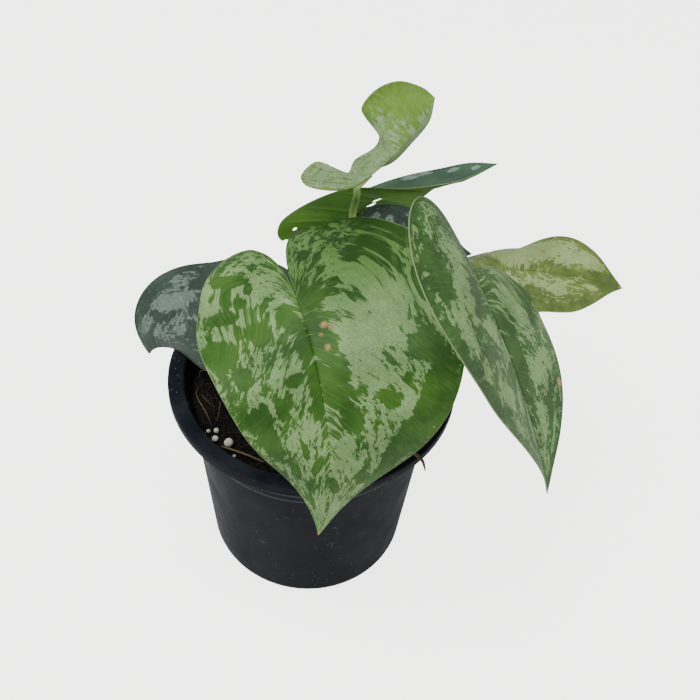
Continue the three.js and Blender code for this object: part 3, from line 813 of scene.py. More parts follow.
STRANDS = (
    Strand("pale_straw", "straw", (.3, .45, .42, .38, .22),
           ((-37.6, -36, .9), (-33.3, -38.4, 2.2), (-26, -41, 1.9), (-19, -43.5, .9))),
    Strand("long_root_hair", "fibre_long", (.1, .17, .15, .1),
           ((-50.5, -3.5, .4), (-50, -12, 5), (-45.5, -20, 4), (-42.5, -24.5, .4))),
    Strand("short_root_hair", "fibre_short", (.1, .16, .1),
           ((-48.5, -7, .4), (-47, -12, 4), (-42, -14.6, .4))),
    Strand("inner_root_hair", "fibre_inner", (.1, .16, .1),
           ((-39.8, -11, .4), (-39.5, -17, 4.5), (-40.5, -22, .4))),
    Strand("looped_root_hair", "fibre_loop", (.1, .15, .15, .1),
           ((-50.5, 2.7, .4), (-49.5, 2.4, 5), (-45, 2.6, 5), (-42.5, 3, .4))),
    Strand("rim_root", "dry_root_right", (.7, .8, .7, .75, .3),
           ((31, -30, 1.1), (36, -36, 6.5), (41, -41.5, 10.6), (46.5, -46.5, 10.4), (48.5, -48.5, 5.5))),
)


# ---------------------------------------------------------------- leaves

HEART = np.array([(0, 0), (-.13, .03), (-.245, .11), (-.295, .25), (-.235, .395), (-.07, .505), (.14, .53),
                  (.37, .465), (.59, .33), (.78, .18), (.905, .068), (1, 0)])
VEIN_START = 0.22  # share of the margin below which veins start at the stalk


class Side(Enum):
    """The halves of a blade, seen from the stalk towards the tip."""

    LEFT = 1
    RIGHT = -1


@dataclass(frozen=True)
class Half:
    """How one half of a heart blade differs: its lobe's length, skew, width, and its fold and curl."""

    lobe: float
    skew: float
    width: float
    fold: tuple[float, float, float]
    curl: tuple[float, float, float]


def staged(values: tuple[float, float, float], a: np.ndarray) -> np.ndarray:
    """Goes smoothly from the lobe's value to the middle's and on to the tip's, at share a of the midrib."""
    lobe, middle, tip = values
    return lobe + (middle - lobe) * smoothstep(-0.25, 0.35, a) + (tip - middle) * smoothstep(0.35, 0.95, a)


@dataclass(frozen=True)
class HeartBlade:
    """A heart blade bent from the flat: base in millimetres over the soil, angles in degrees."""

    base: tuple[float, float, float]
    length: float
    width: float
    heading: float
    pitch: float
    roll: float
    droop: float
    droop_more: float
    sweep: float
    twist: float
    left: Half
    right: Half

    def frames(self, a: np.ndarray) -> tuple[np.ndarray, np.ndarray, np.ndarray]:
        """Unit vectors along the midrib, to its left and out of the upper face, at shares a."""
        heading, pitch, roll = np.radians([self.heading, self.pitch, self.roll])
        along = np.array([math.cos(heading) * math.cos(pitch), math.sin(heading) * math.cos(pitch),
                          -math.sin(pitch)])
        level = np.array([-math.sin(heading), math.cos(heading), 0.0])
        up = np.cross(along, level)
        left = math.cos(roll) * level + math.sin(roll) * up
        up = np.cross(along, left)
        droop = np.radians(self.droop * a + self.droop_more * a * np.abs(a))[..., None]
        sweep, twist = np.radians(self.sweep * a)[..., None], np.radians(self.twist * a)[..., None]
        tangent = along * np.cos(droop) * np.cos(sweep) + left * np.sin(sweep) - up * np.sin(droop) * np.cos(sweep)
        side = -along * np.sin(sweep) * np.cos(droop) + left * np.cos(sweep) + up * np.sin(sweep) * np.sin(droop)
        out = np.cross(tangent, side)
        side, out = side * np.cos(twist) + out * np.sin(twist), out * np.cos(twist) - side * np.sin(twist)
        return tangent, side, out

    def midrib(self, a: np.ndarray) -> np.ndarray:
        """The base plus the tangent summed along the midrib by the midpoint rule in 12 steps."""
        shares = (np.arange(12) + 0.5) / 12
        tangent = self.frames(a[..., None] * shares)[0]
        return np.array(self.base) + tangent.mean(-2) * (a * self.length)[..., None]

    def points(self, side: Side, s: np.ndarray, w: np.ndarray) -> np.ndarray:
        """Bends the flat half heart into place.

        A point of the flat half is at share `along` of the midrib and `across` from it. Across becomes an
        arc that leaves the midrib at the fold angle and turns by the curl for each unit of its length.

        Args:
            side: which half.
            s: share of the way round the margin, from the stalk to the tip.
            w: share of the way from the midrib to the margin.

        Returns:
            Points in millimetres over the soil.
        """
        half = self.left if side is Side.LEFT else self.right
        margin = catmull(HEART, s)
        reach = np.where(margin[..., 0] < 0, margin[..., 0] * half.lobe, margin[..., 0])
        reach = reach + half.skew * margin[..., 1] * (1 - margin[..., 0])
        start = vein_foot(s)
        dx, dy = reach - start, margin[..., 1]
        bow = 0.12 * w * (1 - w)
        a = start + dx * w - bow * dy
        across = (dy * w + bow * dx) * self.width * half.width
        fold = np.radians(staged(half.fold, a))
        curl = 2 * np.radians(staged(half.curl, a))
        curl = np.where(np.abs(curl) < 1e-4, 1e-4, curl)
        lateral = (np.sin(fold + curl * across) - np.sin(fold)) / curl
        lift = (np.cos(fold) - np.cos(fold + curl * across)) / curl
        _, aside, out = self.frames(a)
        return self.midrib(a) + self.length * (side.value * lateral[..., None] * aside + lift[...,
                                                                                              None] * out)

    def under(self, a: np.ndarray) -> np.ndarray:
        """Directions out of the underside at shares a of the midrib."""
        return -self.frames(a)[2]


@dataclass(frozen=True)
class FoldedBlade:
    """A blade folded along its midrib, given by the midrib and both margins in millimetres over the soil."""

    ribs: tuple[tuple[float, float, float], ...]
    left: tuple[tuple[float, float, float], ...]
    right: tuple[tuple[float, float, float], ...]
    down: tuple[float, float, float]
    lobe: float = VEIN_START
    cup: float = 0.06

    @property
    def length(self) -> float:
        """The midrib's length."""
        return float(np.linalg.norm(np.diff(np.array(self.ribs), axis=0), axis=1).sum())

    def midrib(self, a: np.ndarray) -> np.ndarray:
        """The midrib's curve at shares a."""
        return catmull(np.array(self.ribs), a)

    def points(self, side: Side, s: np.ndarray, w: np.ndarray) -> np.ndarray:
        """A line from midrib to margin, cupped by a parabola across it; arguments as for a heart blade."""
        share = np.clip((s - self.lobe) / (1 - self.lobe), 0.0, 1.0) ** 1.25
        start = self.midrib(share)
        reach = catmull(np.array(self.left if side is Side.LEFT else self.right), s) - start
        tangent = self.midrib(np.clip(share + .02, 0, 1)) - self.midrib(np.clip(share - .02, 0, 1))
        normal = unit(np.cross(tangent, reach))
        sag = -side.value * self.cup * 4 * w * (1 - w) * np.linalg.norm(reach, axis=-1)
        return start + reach * w[..., None] + normal * sag[..., None]

    def under(self, a: np.ndarray) -> np.ndarray:
        """Directions towards the stalk's side at shares a of the midrib."""
        return np.broadcast_to(unit(np.array(self.down, float)), a.shape + (3,))


def vein_foot(s: np.ndarray) -> np.ndarray:
    """Where on the midrib the vein that reaches margin share s starts: the square of its excess share."""
    return np.clip((s - VEIN_START) / (1 - VEIN_START), 0.0, 1.0) ** 2.0


@dataclass(frozen=True)
class Patch:
    """One soft-edged patch on a half: centre and half sizes along the margin (s) and along the vein (w)."""

    side: Side
    s: float
    w: float
    ds: float
    dw: float
    amount: float = 1.0


@dataclass(frozen=True)
class Leaf:
    """A leaf: its blade's shape, its finish, and where silver, bright, painted-shade and dry patches and holes lie."""

    name: str
    blade: HeartBlade | FoldedBlade
    finish: LeafFinish
    silver: float = 0.0
    patches: tuple[Patch, ...] = ()
    dry: tuple[Patch, ...] = ()
    glow: tuple[Patch, ...] = ()
    # Patches of painted shade, which darken the green and dim the silver.
    dull: tuple[Patch, ...] = ()
    holes: tuple[Patch, ...] = ()
    lean: tuple[float, float, float, float] = (0, 0, 0, 0)  # left middle, left tip, right middle, right tip
    veins: int = 9
    rows: int = 190
    columns: int = 46
    thickness: float = 0.45

    def fields(self, side: Side, s: np.ndarray, w: np.ndarray) -> dict[str, np.ndarray]:
        """Values a point: how silver, how deep in painted shade, how far the margin line shows, how dry, how bright.
        """
        silver = np.full(s.shape, self.silver)
        dry, glow, dull = np.zeros(s.shape), np.zeros(s.shape), np.zeros(s.shape)
        for marks, values in ((self.patches, silver), (self.dry, dry), (self.glow, glow), (self.dull, dull)):
            for patch in marks:
                if patch.side is side:
                    d = np.hypot((s - patch.s) / patch.ds, (w - patch.w) / patch.dw)
                    values += patch.amount * (1.0 - smoothstep(0.55, 1.25, d))
        edge = smoothstep(0.04, 0.1, s)
        silver = np.clip(silver, -1, 1.1) - 0.3 * smoothstep(0.95, 1.0, w)
        return {"dry": dry, "dull": np.clip(dull, 0, 1), "edge": edge, "glow": np.clip(glow, 0, 1),
                "silver": silver}

    def relief(self, s: np.ndarray, w: np.ndarray) -> np.ndarray:
        """Height of the upper face in millimetres: a channel at the midrib, shallow ones at the side veins
        with soft quilting between, and a fine lift at the margin."""
        midrib = -0.14 * np.exp(-(w * 60 * smoothstep(0.1, 0.3, s) / (1.2 - s) / 2.4) ** 2) * smoothstep(.2,
                                                                                                         .3, s)
        phase = np.abs(((s * self.veins) % 1.0) - 0.5) * 2
        quilt = -0.22 * np.exp(-((1 - phase) / 0.16) ** 2) * smoothstep(0.05, 0.2,
                                                                        w) * (1 - smoothstep(.75, 1, w))
        return midrib + quilt + 0.05 * smoothstep(0.96, 1.0, w)

    def sheet(self) -> tuple[Surface, dict[str, np.ndarray]]:
        """Both halves as one welded sheet that faces up, with its fields."""
        s_line = np.linspace(0.0, 1.0, self.rows)
        w_line = np.linspace(0.0, 1.0, self.columns) ** 0.9
        halves, values = [], []
        for side in Side:
            s, w = np.meshgrid(s_line, w_line, indexing="ij")
            torn = np.zeros(s.shape, bool)
            for hole in self.holes:
                if hole.side is side:
                    away = np.stack([(s - hole.s) / hole.ds, (w - hole.w) / hole.dw], -1)
                    inside = (np.linalg.norm(away, axis=-1) < 1) & (w < 1)
                    rim = unit(away + 1e-6)
                    s = np.where(inside, hole.s + rim[..., 0] * hole.ds, s)
                    w = np.clip(np.where(inside, hole.w + rim[..., 1] * hole.dw, w), 0, 1)
                    torn |= inside | ((np.linalg.norm(away, axis=-1) < 1) & (w >= 1))
            points = self.blade.points(side, s, w)
            ds, dw = np.gradient(points, axis=0), np.gradient(points, axis=1)
            normal = unit(np.cross(ds, dw)) * side.value
            steady = smoothstep(0.02, 0.08, s) * smoothstep(0.0, 0.02, 1 - s)
            steady = steady * np.where(s < VEIN_START, smoothstep(0.02, 0.12, w), 1.0)
            points = points + normal * (self.relief(s, w) * steady)[..., None] + ground()
            middle, tip = self.lean[:2] if side is Side.LEFT else self.lean[2:]
            slant = middle * np.exp(-((s - 0.57) / 0.13) ** 2) + tip * smoothstep(0.6, 0.8, s)
            uv = np.stack([s - slant * w, 0.5 + 0.5 * side.value * w ** 1.6], -1)
            if side is Side.RIGHT:
                points, uv = points[:, ::-1], uv[:, ::-1]
            fields = self.fields(side, s, w)
            order = slice(None) if side is Side.LEFT else slice(None, None, -1)
            values.append(np.stack([fields[k][:, order].ravel() for k in sorted(fields)], -1))
            half = Surface.grid(points * MM, uv)
            whole = ~torn[:, order].ravel()[half.faces].all(1)
            halves.append(Surface(half.points, half.faces[whole], half.uv[whole]))
        surface, carried = Surface.join(halves).weld(np.vstack(values))
        return surface, {name: carried[:, k] for k, name in enumerate(sorted(fields))}

    def build(self) -> None:
        """Thickens the sheet to a blade with a patched upper face and a plain underside."""
        surface, values = self.sheet()
        upper, lower = self.finish.upper(), self.finish.lower()
        piece = surface.to_object(f"blade_{self.name}", [upper, lower], values)
        solid = piece.modifiers.new("thickness", "SOLIDIFY")
        solid.thickness, solid.offset, solid.material_offset = self.thickness * MM, 0.0, 1
        solid.material_offset_rim = 0
        publish(piece, f"leaf_{self.name}")


L, R = Side.LEFT, Side.RIGHT

FRONT = Leaf(
    "front",
    HeartBlade((-7.5, -16.5, 74), 112, .93, -70, 10, 4, 86, 6, -13, -6,
               Half(1.5, .02, 1.11, (-18, 21, -22), (28, -4, 19)),
               Half(1.5, -.05, .76, (-29, 4, -56), (19, -16, -11))),
    LeafFinish("front_leaf", "2b5217", "467124", "71945a", "8fb173", seed=3.1, wild=1.35),
    silver=0.14,
    lean=(.3, .05, .3, .05),
    patches=(
        Patch(L, .78, .45, .32, .62, .42), Patch(L, .55, .33, .12, .35, .3), Patch(L, .4, .38, .09, .28, .22),
        Patch(L, .18, .5, .12, .4, .16), Patch(L, .95, .4, .06, .6, .4), Patch(L, .8, .35, .04, .2, .3),
        Patch(L, .22, .5, .2, .5, .3), Patch(L, .59, .4, .1, .24, .26), Patch(L, .5, .75, .1, .25, .22),
        Patch(L, .6, .07, .14, .08, -.7), Patch(L, .73, .26, .022, .12, -1.2),
        Patch(L, .64, .17, .03, .07, -1), Patch(L, .58, .13, .03, .06, -.7),
        Patch(L, .685, .55, .012, .1, -1.1),
        Patch(L, .625, .5, .02, .07, -.6), Patch(L, .33, .42, .012, .14, -.9),
        Patch(L, .26, .42, .03, .09, -.9),
        Patch(L, .40, .58, .02, .1, -.9), Patch(L, .873, .14, .014, .16, -1.4),
        Patch(L, .82, .68, .014, .15, -1.4),
        Patch(L, .61, .72, .02, .12, -.8), Patch(L, .73, .82, .06, .14, -1), Patch(L, .66, .86, .05, .1, -.9),
        Patch(L, .45, .13, .03, .08, -.3), Patch(L, .7, .12, .02, .09, -.6), Patch(L, .8, .88, .03, .1, -.7),
        Patch(L, .69, .68, .02, .06, .9), Patch(L, .76, .6, .02, .1, .3), Patch(L, .56, .8, .015, .05, .5),
        Patch(R, .6, .5, .5, .7, .42), Patch(R, .3, .4, .14, .3, .25), Patch(R, .93, .5, .07, .6, .3),
        Patch(R, .39, .93, .02, .07, .6), Patch(R, .44, .88, .02, .1, .6), Patch(R, .78, .3, .05, .2, .25),
        Patch(R, .25, .4, .015, .08, -1), Patch(R, .3, .53, .025, .07, -.9),
        Patch(R, .37, .74, .022, .2, -1.3),
        Patch(R, .34, .62, .02, .08, -.6), Patch(R, .44, .6, .018, .07, -.8),
        Patch(R, .475, .74, .016, .15, -1.2),
        Patch(R, .53, .45, .028, .1, -1), Patch(R, .56, .84, .03, .16, -1.2), Patch(R, .61, .72, .02, .1, -1),
        Patch(R, .645, .25, .014, .1, -1.1), Patch(R, .68, .5, .022, .07, -1),
        Patch(R, .67, .68, .016, .06, -.8),
        Patch(R, .71, .78, .05, .12, -1.1), Patch(R, .815, .3, .013, .16, -1.3),
        Patch(R, .84, .6, .02, .1, -.7),
        Patch(R, .77, .42, .02, .06, -.8), Patch(R, .79, .72, .02, .08, -.8),
        Patch(R, .64, .9, .05, .07, -.6),
        Patch(R, .61, .07, .15, .08, -.7), Patch(R, .48, .16, .05, .1, -.7), Patch(R, .72, .1, .02, .1, -.7),
        Patch(R, .88, .75, .03, .12, -.7), Patch(R, .52, .6, .02, .06, -.6), Patch(R, .4, .5, .02, .05, -.7),
    ),
    dry=(Patch(L, .525, .11, .011, .024), Patch(L, .54, .145, .007, .016), Patch(L, .588, .1, .009, .02),
         Patch(L, .55, .07, .005, .012, .8), Patch(L, .995, .5, .012, 2.0),
         Patch(R, .995, .5, .012, 2.0)),
    # Painted shade over both lobes near the stalk.
    dull=(Patch(L, .2, .6, .32, 1.0, .6), Patch(L, .42, .8, .12, .4, .25), Patch(R, .15, .5, .2, 1.0, .3)),
    rows=250,
    columns=72,
)

RIGHT = Leaf(
    "right",
    HeartBlade((60.8, -11, 84.5), 101, 1.05, -53, 40, -26, 20, 5, 14, 1,
               Half(.1, .18, .95, (-19, 7, 9), (-28, -34, -6)),
               Half(1.06, 0, 1.01, (29, 28, 30), (-36, -22, -3))),
    LeafFinish("right_leaf", "244616", "396122", "61834c", "80a066", seed=7.7, wild=1.2),
    silver=0.14,
    lean=(.35, 0, 0, -.17),
    patches=(
        Patch(L, .66, .45, .32, .6, .22), Patch(R, .6, .5, .42, .7, .22), Patch(L, .33, .7, .2, .35, .4),
        Patch(L, .54, .3, .05, .16, .45), Patch(L, .62, .4, .05, .16, .45),
        Patch(L, .725, .45, .035, .22, .55),
        Patch(L, .70, .72, .025, .1, .5), Patch(L, .83, .42, .04, .18, .55), Patch(L, .85, .8, .05, .06, .45),
        Patch(L, .76, .6, .02, .1, .3), Patch(L, .62, .85, .04, .12, .3), Patch(L, .92, .4, .05, .4, .3),
        Patch(L, .70, .13, .08, .1, -.6), Patch(L, .80, .68, .05, .08, -.6), Patch(L, .6, .6, .04, .1, -.3),
        Patch(R, .40, .5, .08, .14, .5), Patch(R, .49, .57, .06, .1, .55), Patch(R, .54, .8, .04, .1, .6),
        Patch(R, .665, .67, .035, .12, .65), Patch(R, .575, .25, .03, .25, .5),
        Patch(R, .65, .15, .03, .15, .5),
        Patch(R, .61, .82, .012, .06, .6), Patch(R, .71, .85, .02, .08, .5), Patch(R, .72, .4, .02, .25, .45),
        Patch(R, .79, .35, .025, .3, .5), Patch(R, .87, .4, .025, .4, .4), Patch(R, .3, .8, .06, .06, .35),
        Patch(R, .45, .8, .06, .09, -.6), Patch(R, .53, .35, .014, .25, -.6),
        Patch(R, .6, .62, .015, .1, -.5),
        Patch(R, .69, .3, .02, .2, -.4), Patch(R, .76, .4, .018, .35, -.6), Patch(R, .83, .4, .02, .35, -.5),
        Patch(R, .64, .92, .15, .06, -.4),
    ),
    dry=(Patch(L, .742, .93, .008, .05), Patch(L, .995, .5, .01, 2.0), Patch(R, .995, .5, .01, 2.0)),
)

LEFT = Leaf(
    "left",
    HeartBlade((-22, 7.5, 42.5), 82, .81, 178, -7, -13, 85, 18, 3, -20,
               Half(1, 0, .91, (-10, -21, -54), (-25, -20, -13)),
               Half(1, 0, .99, (-10, -14, 39), (-25, -30, 4))),
    LeafFinish("left_leaf", "314136", "3f5147", "61756a", "7d8f84", seed=12.3, streaks=.06, wild=.75),
    silver=0.2,
    patches=(
        Patch(R, .74, .4, .1, .35, .3), Patch(L, .78, .3, .1, .35, .25), Patch(L, .86, .2, .03, .3, .45),
        Patch(L, .74, .3, .03, .2, .2), Patch(L, .8, .6, .05, .15, .25),
        Patch(R, .74, .25, .05, .22, .5), Patch(R, .70, .75, .03, .15, .35), Patch(R, .78, .45, .03, .2, .35),
        Patch(R, .87, .5, .05, .4, .35), Patch(R, .82, .3, .014, .25, -.5), Patch(R, .68, .5, .02, .15, -.4),
    ),
)

FAR_RIGHT = Leaf(
    "far_right",
    HeartBlade((71.3, 46, 32.5), 70.5, 1.04, 0, -3, -2, 19, 3, 0, 10,
               Half(1, 0, 1.08, (-23, -6, 26), (-34, -45, 8)),
               Half(1, 0, 1, (0, 12, -9), (-15, 5, -7))),
    LeafFinish("far_right_leaf", "4d602c", "748a40", "8ca262", "a6ba7c", "b0bd80", "7b8d50", seed=18.9,
               wild=.8),
    silver=0.3,
    patches=(
        Patch(L, .75, .6, .12, .35, .4), Patch(L, .62, .5, .1, .5, .5), Patch(L, .85, .7, .05, .2, .25),
        Patch(L, .95, .5, .05, .6, -.6), Patch(R, .74, .35, .09, .3, .35), Patch(R, .87, .5, .025, .2, .5),
        Patch(R, .62, .2, .06, .2, .3), Patch(R, .75, .92, .16, .1, -.7), Patch(R, .95, .5, .05, .6, -.7),
    ),
    dry=(Patch(L, .715, .57, .007, .05, .9), Patch(L, .995, .5, .01, 2.0), Patch(R, .995, .5, .01, 2.0)),
)

BACK_LOW = Leaf(
    "back_low",
    HeartBlade((28.5, 37, 55), 40, 1.04, -5, 0, 15, 20, 0, 6, 0,
               Half(1, 0, .75, (28, 32, 20), (-20, -20, 0)), Half(1, 0, .9, (0, 0, -5), (-20, -20, 0))),
    LeafFinish("back_low_leaf", "1c2c24", "2c3f34", "596d63", "76887f", seed=23.5, streaks=.05, wild=.6),
    silver=0.2,
    patches=(Patch(L, .5, .6, .03, .12, .5), Patch(L, .42, .75, .03, .1, .4), Patch(L, .6, .8, .03, .08, .4)),
)

TOP = Leaf(
    "top",
    FoldedBlade(
        ((16, 36, 86), (22, 41, 88), (28, 46, 91), (35, 54, 94), (42, 64, 97), (48, 76, 102)),
        ((16, 36, 86), (10, 34, 85), (3, 31, 87), (-5, 30, 90), (-7, 32, 94), (-1, 38, 96), (7, 41, 90),
         (12, 46, 84), (15, 55, 84), (23, 61, 86), (25, 65, 90), (19, 67, 97), (17, 67, 103), (23, 71, 109),
         (32, 74, 111), (42, 76, 107), (48, 76, 102)),
        ((16, 36, 86), (13, 43, 81), (14, 53, 76), (22, 60, 75), (31, 58, 81), (39, 64, 87), (46, 70, 94),
         (48, 76, 102)),
        (0, .15, -1)),
    LeafFinish("top_leaf", "4f7420", "769c3e", "6f8a5b", "98b085", "a4b783", "859c63", streaks=.45, wild=.7,
               fine=95, lines=.75,
               seed=29.0),
    silver=0.45,
    patches=(
        Patch(L, .4, .5, .4, .7, .25), Patch(R, .5, .5, .5, .8, .25), Patch(L, .93, .7, .14, .55, -.6),
        Patch(L, .78, .9, .12, .2, -.35), Patch(L, .12, .8, .05, .15, -.4),
    ),
    dry=(Patch(R, .585, .2, .01, .22, .75), Patch(L, .575, .1, .012, .08, .7)),
    glow=(Patch(L, .93, .65, .14, .5, .55),),
)

BACK_LONG = Leaf(
    "back_long",
    FoldedBlade(
        ((11, 43, 55), (25, 51, 54), (40, 60, 54), (53, 74, 55), (68, 83, 55), (83, 94, 54)),
        ((11, 43, 55), (5, 50, 51), (5, 65, 46), (12, 76, 44), (25, 84, 46), (40, 90, 48), (57, 94, 50),
         (70, 95, 53), (83, 94, 54)),
        ((11, 43, 55), (4, 38, 53), (-7, 34, 53), (-16, 35, 56), (-16, 38, 62), (-10, 42, 66), (0, 46, 70),
         (11, 50, 72), (23, 53, 71), (37, 58.5, 66.5), (52, 67, 62), (65, 75.5, 59), (83, 94, 54)),
        (0, -.2, -1), .1),
    LeafFinish("back_long_leaf", "365541", "4e6d53", "788d80", "90a194", under="4c7522", seed=34.2,
               streaks=.05, wild=.6),
    silver=0.08,
    patches=(Patch(L, .9, .55, .025, .22, .8), Patch(L, .8, .78, .03, .12, .7),
             Patch(L, .66, .92, .06, .09, .6)),
    holes=(Patch(R, .285, .81, .012, .024), Patch(R, .507, .435, .024, .022), Patch(R, .547, .475, .022, .02),
           Patch(L, .46, .63, .045, .06), Patch(R, .22, 1.0, .014, .08)),
    rows=300,
    columns=60,
)

LEAVES = (FRONT, RIGHT, LEFT, FAR_RIGHT, BACK_LOW, TOP, BACK_LONG)


# ---------------------------------------------------------------- stems, stalks and roots


@dataclass(frozen=True)
class Cutting:
    """A rooted vine cutting: its route from the buried end to the tip, and the heights of its nodes."""

    name: str
    route: tuple[tuple[float, float, float], ...]
    nodes: tuple[float, ...]
    roots: tuple[tuple[float, float, float], ...]

    def build(self, finishes: dict[str, bpy.types.Material]) -> None:
        """A stem that swells at each node and narrows to its tip, and its buried roots."""
        steps = 140
        t = np.linspace(0, 1, steps)
        line = catmull(np.array(self.route), t)
        radius = 2.9 - 0.5 * t + 0.35 * sum(np.exp(-((line[:, 2] - z) / 1.3) ** 2) for z in self.nodes)
        radius = radius * np.where(t > 0.985, np.sqrt(np.clip((1 - t) / 0.015, 0.05, 1)), 1)
        stem = tube(line + ground(), radius, steps, 28, curve=False)
        publish(stem.weld()[0].to_object(f"vine_{self.name}", [finishes["stem"]]), f"stem_{self.name}")
        end = np.array(self.route[0])
        strands = []
        for tip in self.roots:
            bend = (end + np.array(tip)) / 2 + [0, 0, 5]
            strands.append(tube(np.array([end, bend, tip]) + ground(), (1.2, .9, .7, .2), 30, 8))
        root = Surface.join(strands).weld()[0].to_object(f"roots_of_{self.name}", [finishes["root"]])
        publish(root, f"roots_{self.name}")


CUTTINGS = (
    Cutting("main", ((4, 9, -38), (5, 10, -18), (6, 11, 0), (7, 15, 20), (9, 20, 36), (11, 26, 48)),
            (-20, -4, 12, 25, 33, 41), ((-26, 10, -78), (-10, -22, -72), (12, -8, -86), (6, 32, -70))),
    Cutting("right", ((26, 8, -34), (28, 10, -14), (30, 12, 0), (31, 14, 16), (34, 16, 34)),
            (-18, -3, 14, 30), ((38, -10, -70), (36, 22, -72), (20, -14, -80))),
)


@dataclass(frozen=True)
class Stalk:
    """A leaf stalk: its leaf and its route from inside the stem towards the blade."""

    leaf: Leaf
    route: tuple[tuple[float, float, float], ...]

    def build(self, material: bpy.types.Material) -> None:
        """Thick where it clasps the stem, channelled above, and running on as the rib under the blade."""
        blade = self.leaf.blade
        shares = np.array([0.0, 0.0, 0.04, 0.12, 0.2])
        depth = np.array([6.0, 1.8, 1.35, 1.1, 0.9])
        foot = blade.midrib(shares) + blade.under(shares) * depth[:, None]
        route = np.vstack([np.array(self.route), foot]) + ground()
        radii = (2.3, 1.9, 1.65, 1.6, 1.55, 1.5, 1.4, 1.0, .7, .35)
        stalk = tube(route, radii, 110, 26, groove=0.16)
        publish(stalk.weld()[0].to_object(f"stalk_{self.leaf.name}", [material]), f"petiole_{self.leaf.name}")


STALKS = (
    Stalk(FRONT, ((8, 16, 25), (3, 4, 44), (-4, -8, 62))),
    Stalk(RIGHT, ((34, 16, 31), (44, 9, 50), (54, -2, 70))),
    Stalk(LEFT, ((7, 13, 12), (-4, 11, 22), (-15, 10, 31))),
    Stalk(FAR_RIGHT, ((32, 15, 14), (46, 25, 17), (63, 40, 23))),
    Stalk(BACK_LOW, ((9, 18, 30), (16, 28, 34), (25, 35, 43))),
    Stalk(BACK_LONG, ((10, 22, 40), (7, 30, 43), (8, 38, 46))),
    Stalk(TOP, ((11, 26, 47), (15, 32.5, 50.5), (15.5, 39, 58), (15, 42, 66), (15.8, 40.5, 74))),
)


# ---------------------------------------------------------------- studio


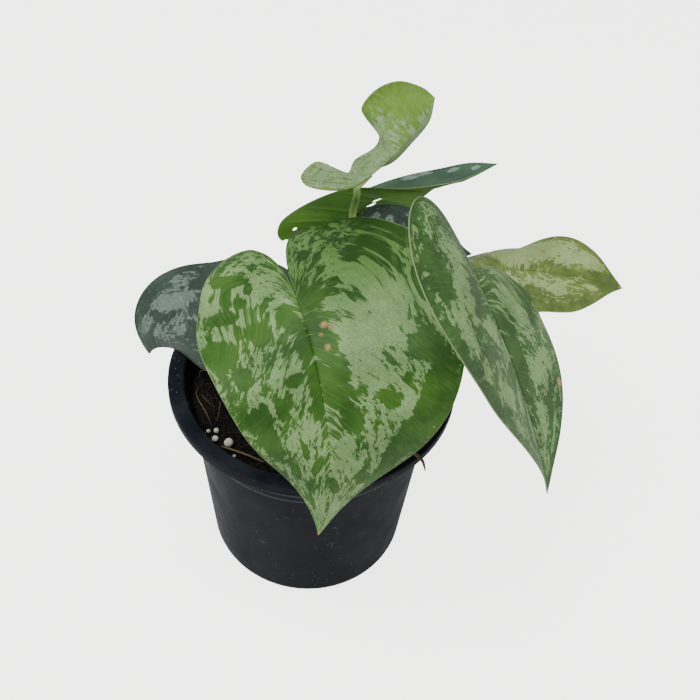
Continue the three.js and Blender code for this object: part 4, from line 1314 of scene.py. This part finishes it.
@dataclass(frozen=True)
class Studio:
    """White paper floor, a soft overhead key, a fill at each side, and the camera that looks down on the plant."""

    target: tuple[float, float, float] = (0.0, 0.0, 110.0)
    distance: float = 500.0
    elevation: float = 49.0
    roll: float = 2.0
    lens: float = 58.27
    shift: tuple[float, float] = (0.0543, 0.0329)

    def camera(self) -> None:
        """Places the camera by its target, distance, elevation and roll."""
        e, r = math.radians(self.elevation), math.radians(self.roll)
        back = np.array([0.0, -math.cos(e), math.sin(e)])
        right = np.array([1.0, 0.0, 0.0])
        up = np.cross(back, right)
        x, y = math.cos(r) * right + math.sin(r) * up, math.cos(r) * up - math.sin(r) * right
        place = (np.array(self.target) + back * self.distance) * MM
        data = bpy.data.cameras.new("studio_camera")
        data.lens, data.sensor_width = self.lens, 36.0
        data.shift_x, data.shift_y = self.shift
        data.clip_start, data.clip_end = 0.01, 20.0
        camera = bpy.data.objects.new("studio_camera", data)
        camera.matrix_world = Matrix([[x[k], y[k], back[k], place[k]] for k in range(3)] + [[0, 0, 0, 1]])
        bpy.context.scene.collection.objects.link(camera)
        bpy.context.scene.camera = camera

    def light(self, name: str, place: tuple[float, float, float], size: float, power: float) -> None:
        """A square area light at a place in metres, aimed at the plant."""
        data = bpy.data.lights.new(name, "AREA")
        data.size, data.energy = size, power
        lamp = bpy.data.objects.new(name, data)
        away = unit(np.array(place) - np.array([0, 0, 0.13]))
        side = unit(np.cross([0.0, 1.0, 0.0] if abs(away[2]) > .9 else [0.0, 0.0, 1.0], away))
        up = np.cross(away, side)
        lamp.matrix_world = Matrix([[side[k], up[k], away[k], place[k]] for k in range(3)] + [[0, 0, 0, 1]])
        bpy.context.scene.collection.objects.link(lamp)

    def build(self, paper: bpy.types.Material) -> None:
        """Camera, lights, sky and floor."""
        self.camera()
        self.light("key", (-0.35, -0.2, 1.08), 0.9, 10.0)
        self.light("right_side", (1.0, -0.1, 0.5), 0.7, 4.5)
        self.light("left_side", (-1.0, -0.1, 0.4), 0.6, 1.0)
        world = bpy.data.worlds.new("studio_sky")
        world.use_nodes = True
        world.node_tree.nodes["Background"].inputs["Color"].default_value = (1, 1, 1, 1)
        world.node_tree.nodes["Background"].inputs["Strength"].default_value = 0.5
        bpy.context.scene.world = world
        corners = np.array([[(-3.0, -3.0), (3.0, -3.0)], [(-3.0, 3.0), (3.0, 3.0)]])
        level = np.concatenate([corners, np.full((2, 2, 1), -0.0002)], -1)
        floor = Surface.grid(np.swapaxes(level, 0, 1)).to_object("studio_floor", [paper])


def make_finishes() -> dict[str, bpy.types.Material]:
    """Every finish other than the leaves' own."""
    return {
        "plastic": PlasticFinish().make(),
        "earth": EarthFinish("damp_peat", "040303", "17120e", "544a3a").make(),
        "chips": EarthFinish("coco_chip", "080605", "241c15", "6a5c48", 500.0).make(),
        "fibre": EarthFinish("coir_hair", "2c241e", "54483c", "85786a", 700.0).make(),
        "straw": EarthFinish("dry_straw", "6a5a42", "8a785c", "aa9a7e", 400.0).make(),
        "grain": EarthFinish("feed_grain", "cfccc0", "e4e2d8", "f2f0e8", 500.0).make(),
        "stem": StalkFinish("vine_bark", "5b7a3a", "7c9a55", "44602c").make(),
        "stalk": StalkFinish("leaf_stalk", "6f9048", "93ad68", "4f7030").make(),
        "root": StalkFinish("buried_root", "b9a37c", "d2c2a0", "8d744e", 0.8).make(),
        "paper": FloorFinish().make(),
    }


def main() -> None:
    """Builds the studio, the pot, the soil and the plant."""
    finishes = make_finishes()
    Studio().build(finishes["paper"])
    NurseryPot().build(finishes["plastic"])
    PottingMix().build(finishes)
    for k, grain in enumerate(GRAINS, 1):
        piece = grain.surface(40 + k).weld()[0].to_object(f"feed_grain_{k}", [finishes["grain"]])
        publish(piece, f"prill_{k}")
    for strand in STRANDS:
        shape = tube(np.array(strand.route) + ground(), strand.radii, 40, 10).weld()[0]
        publish(shape.to_object(strand.piece, [finishes["straw"]]), strand.node)
    for cutting in CUTTINGS:
        cutting.build(finishes)
    for stalk in STALKS:
        stalk.build(finishes["stalk"])
    for leaf in LEAVES:
        leaf.build()
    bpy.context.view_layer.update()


if __name__ == "__main__":
    logging.basicConfig(level=logging.INFO)
    main()
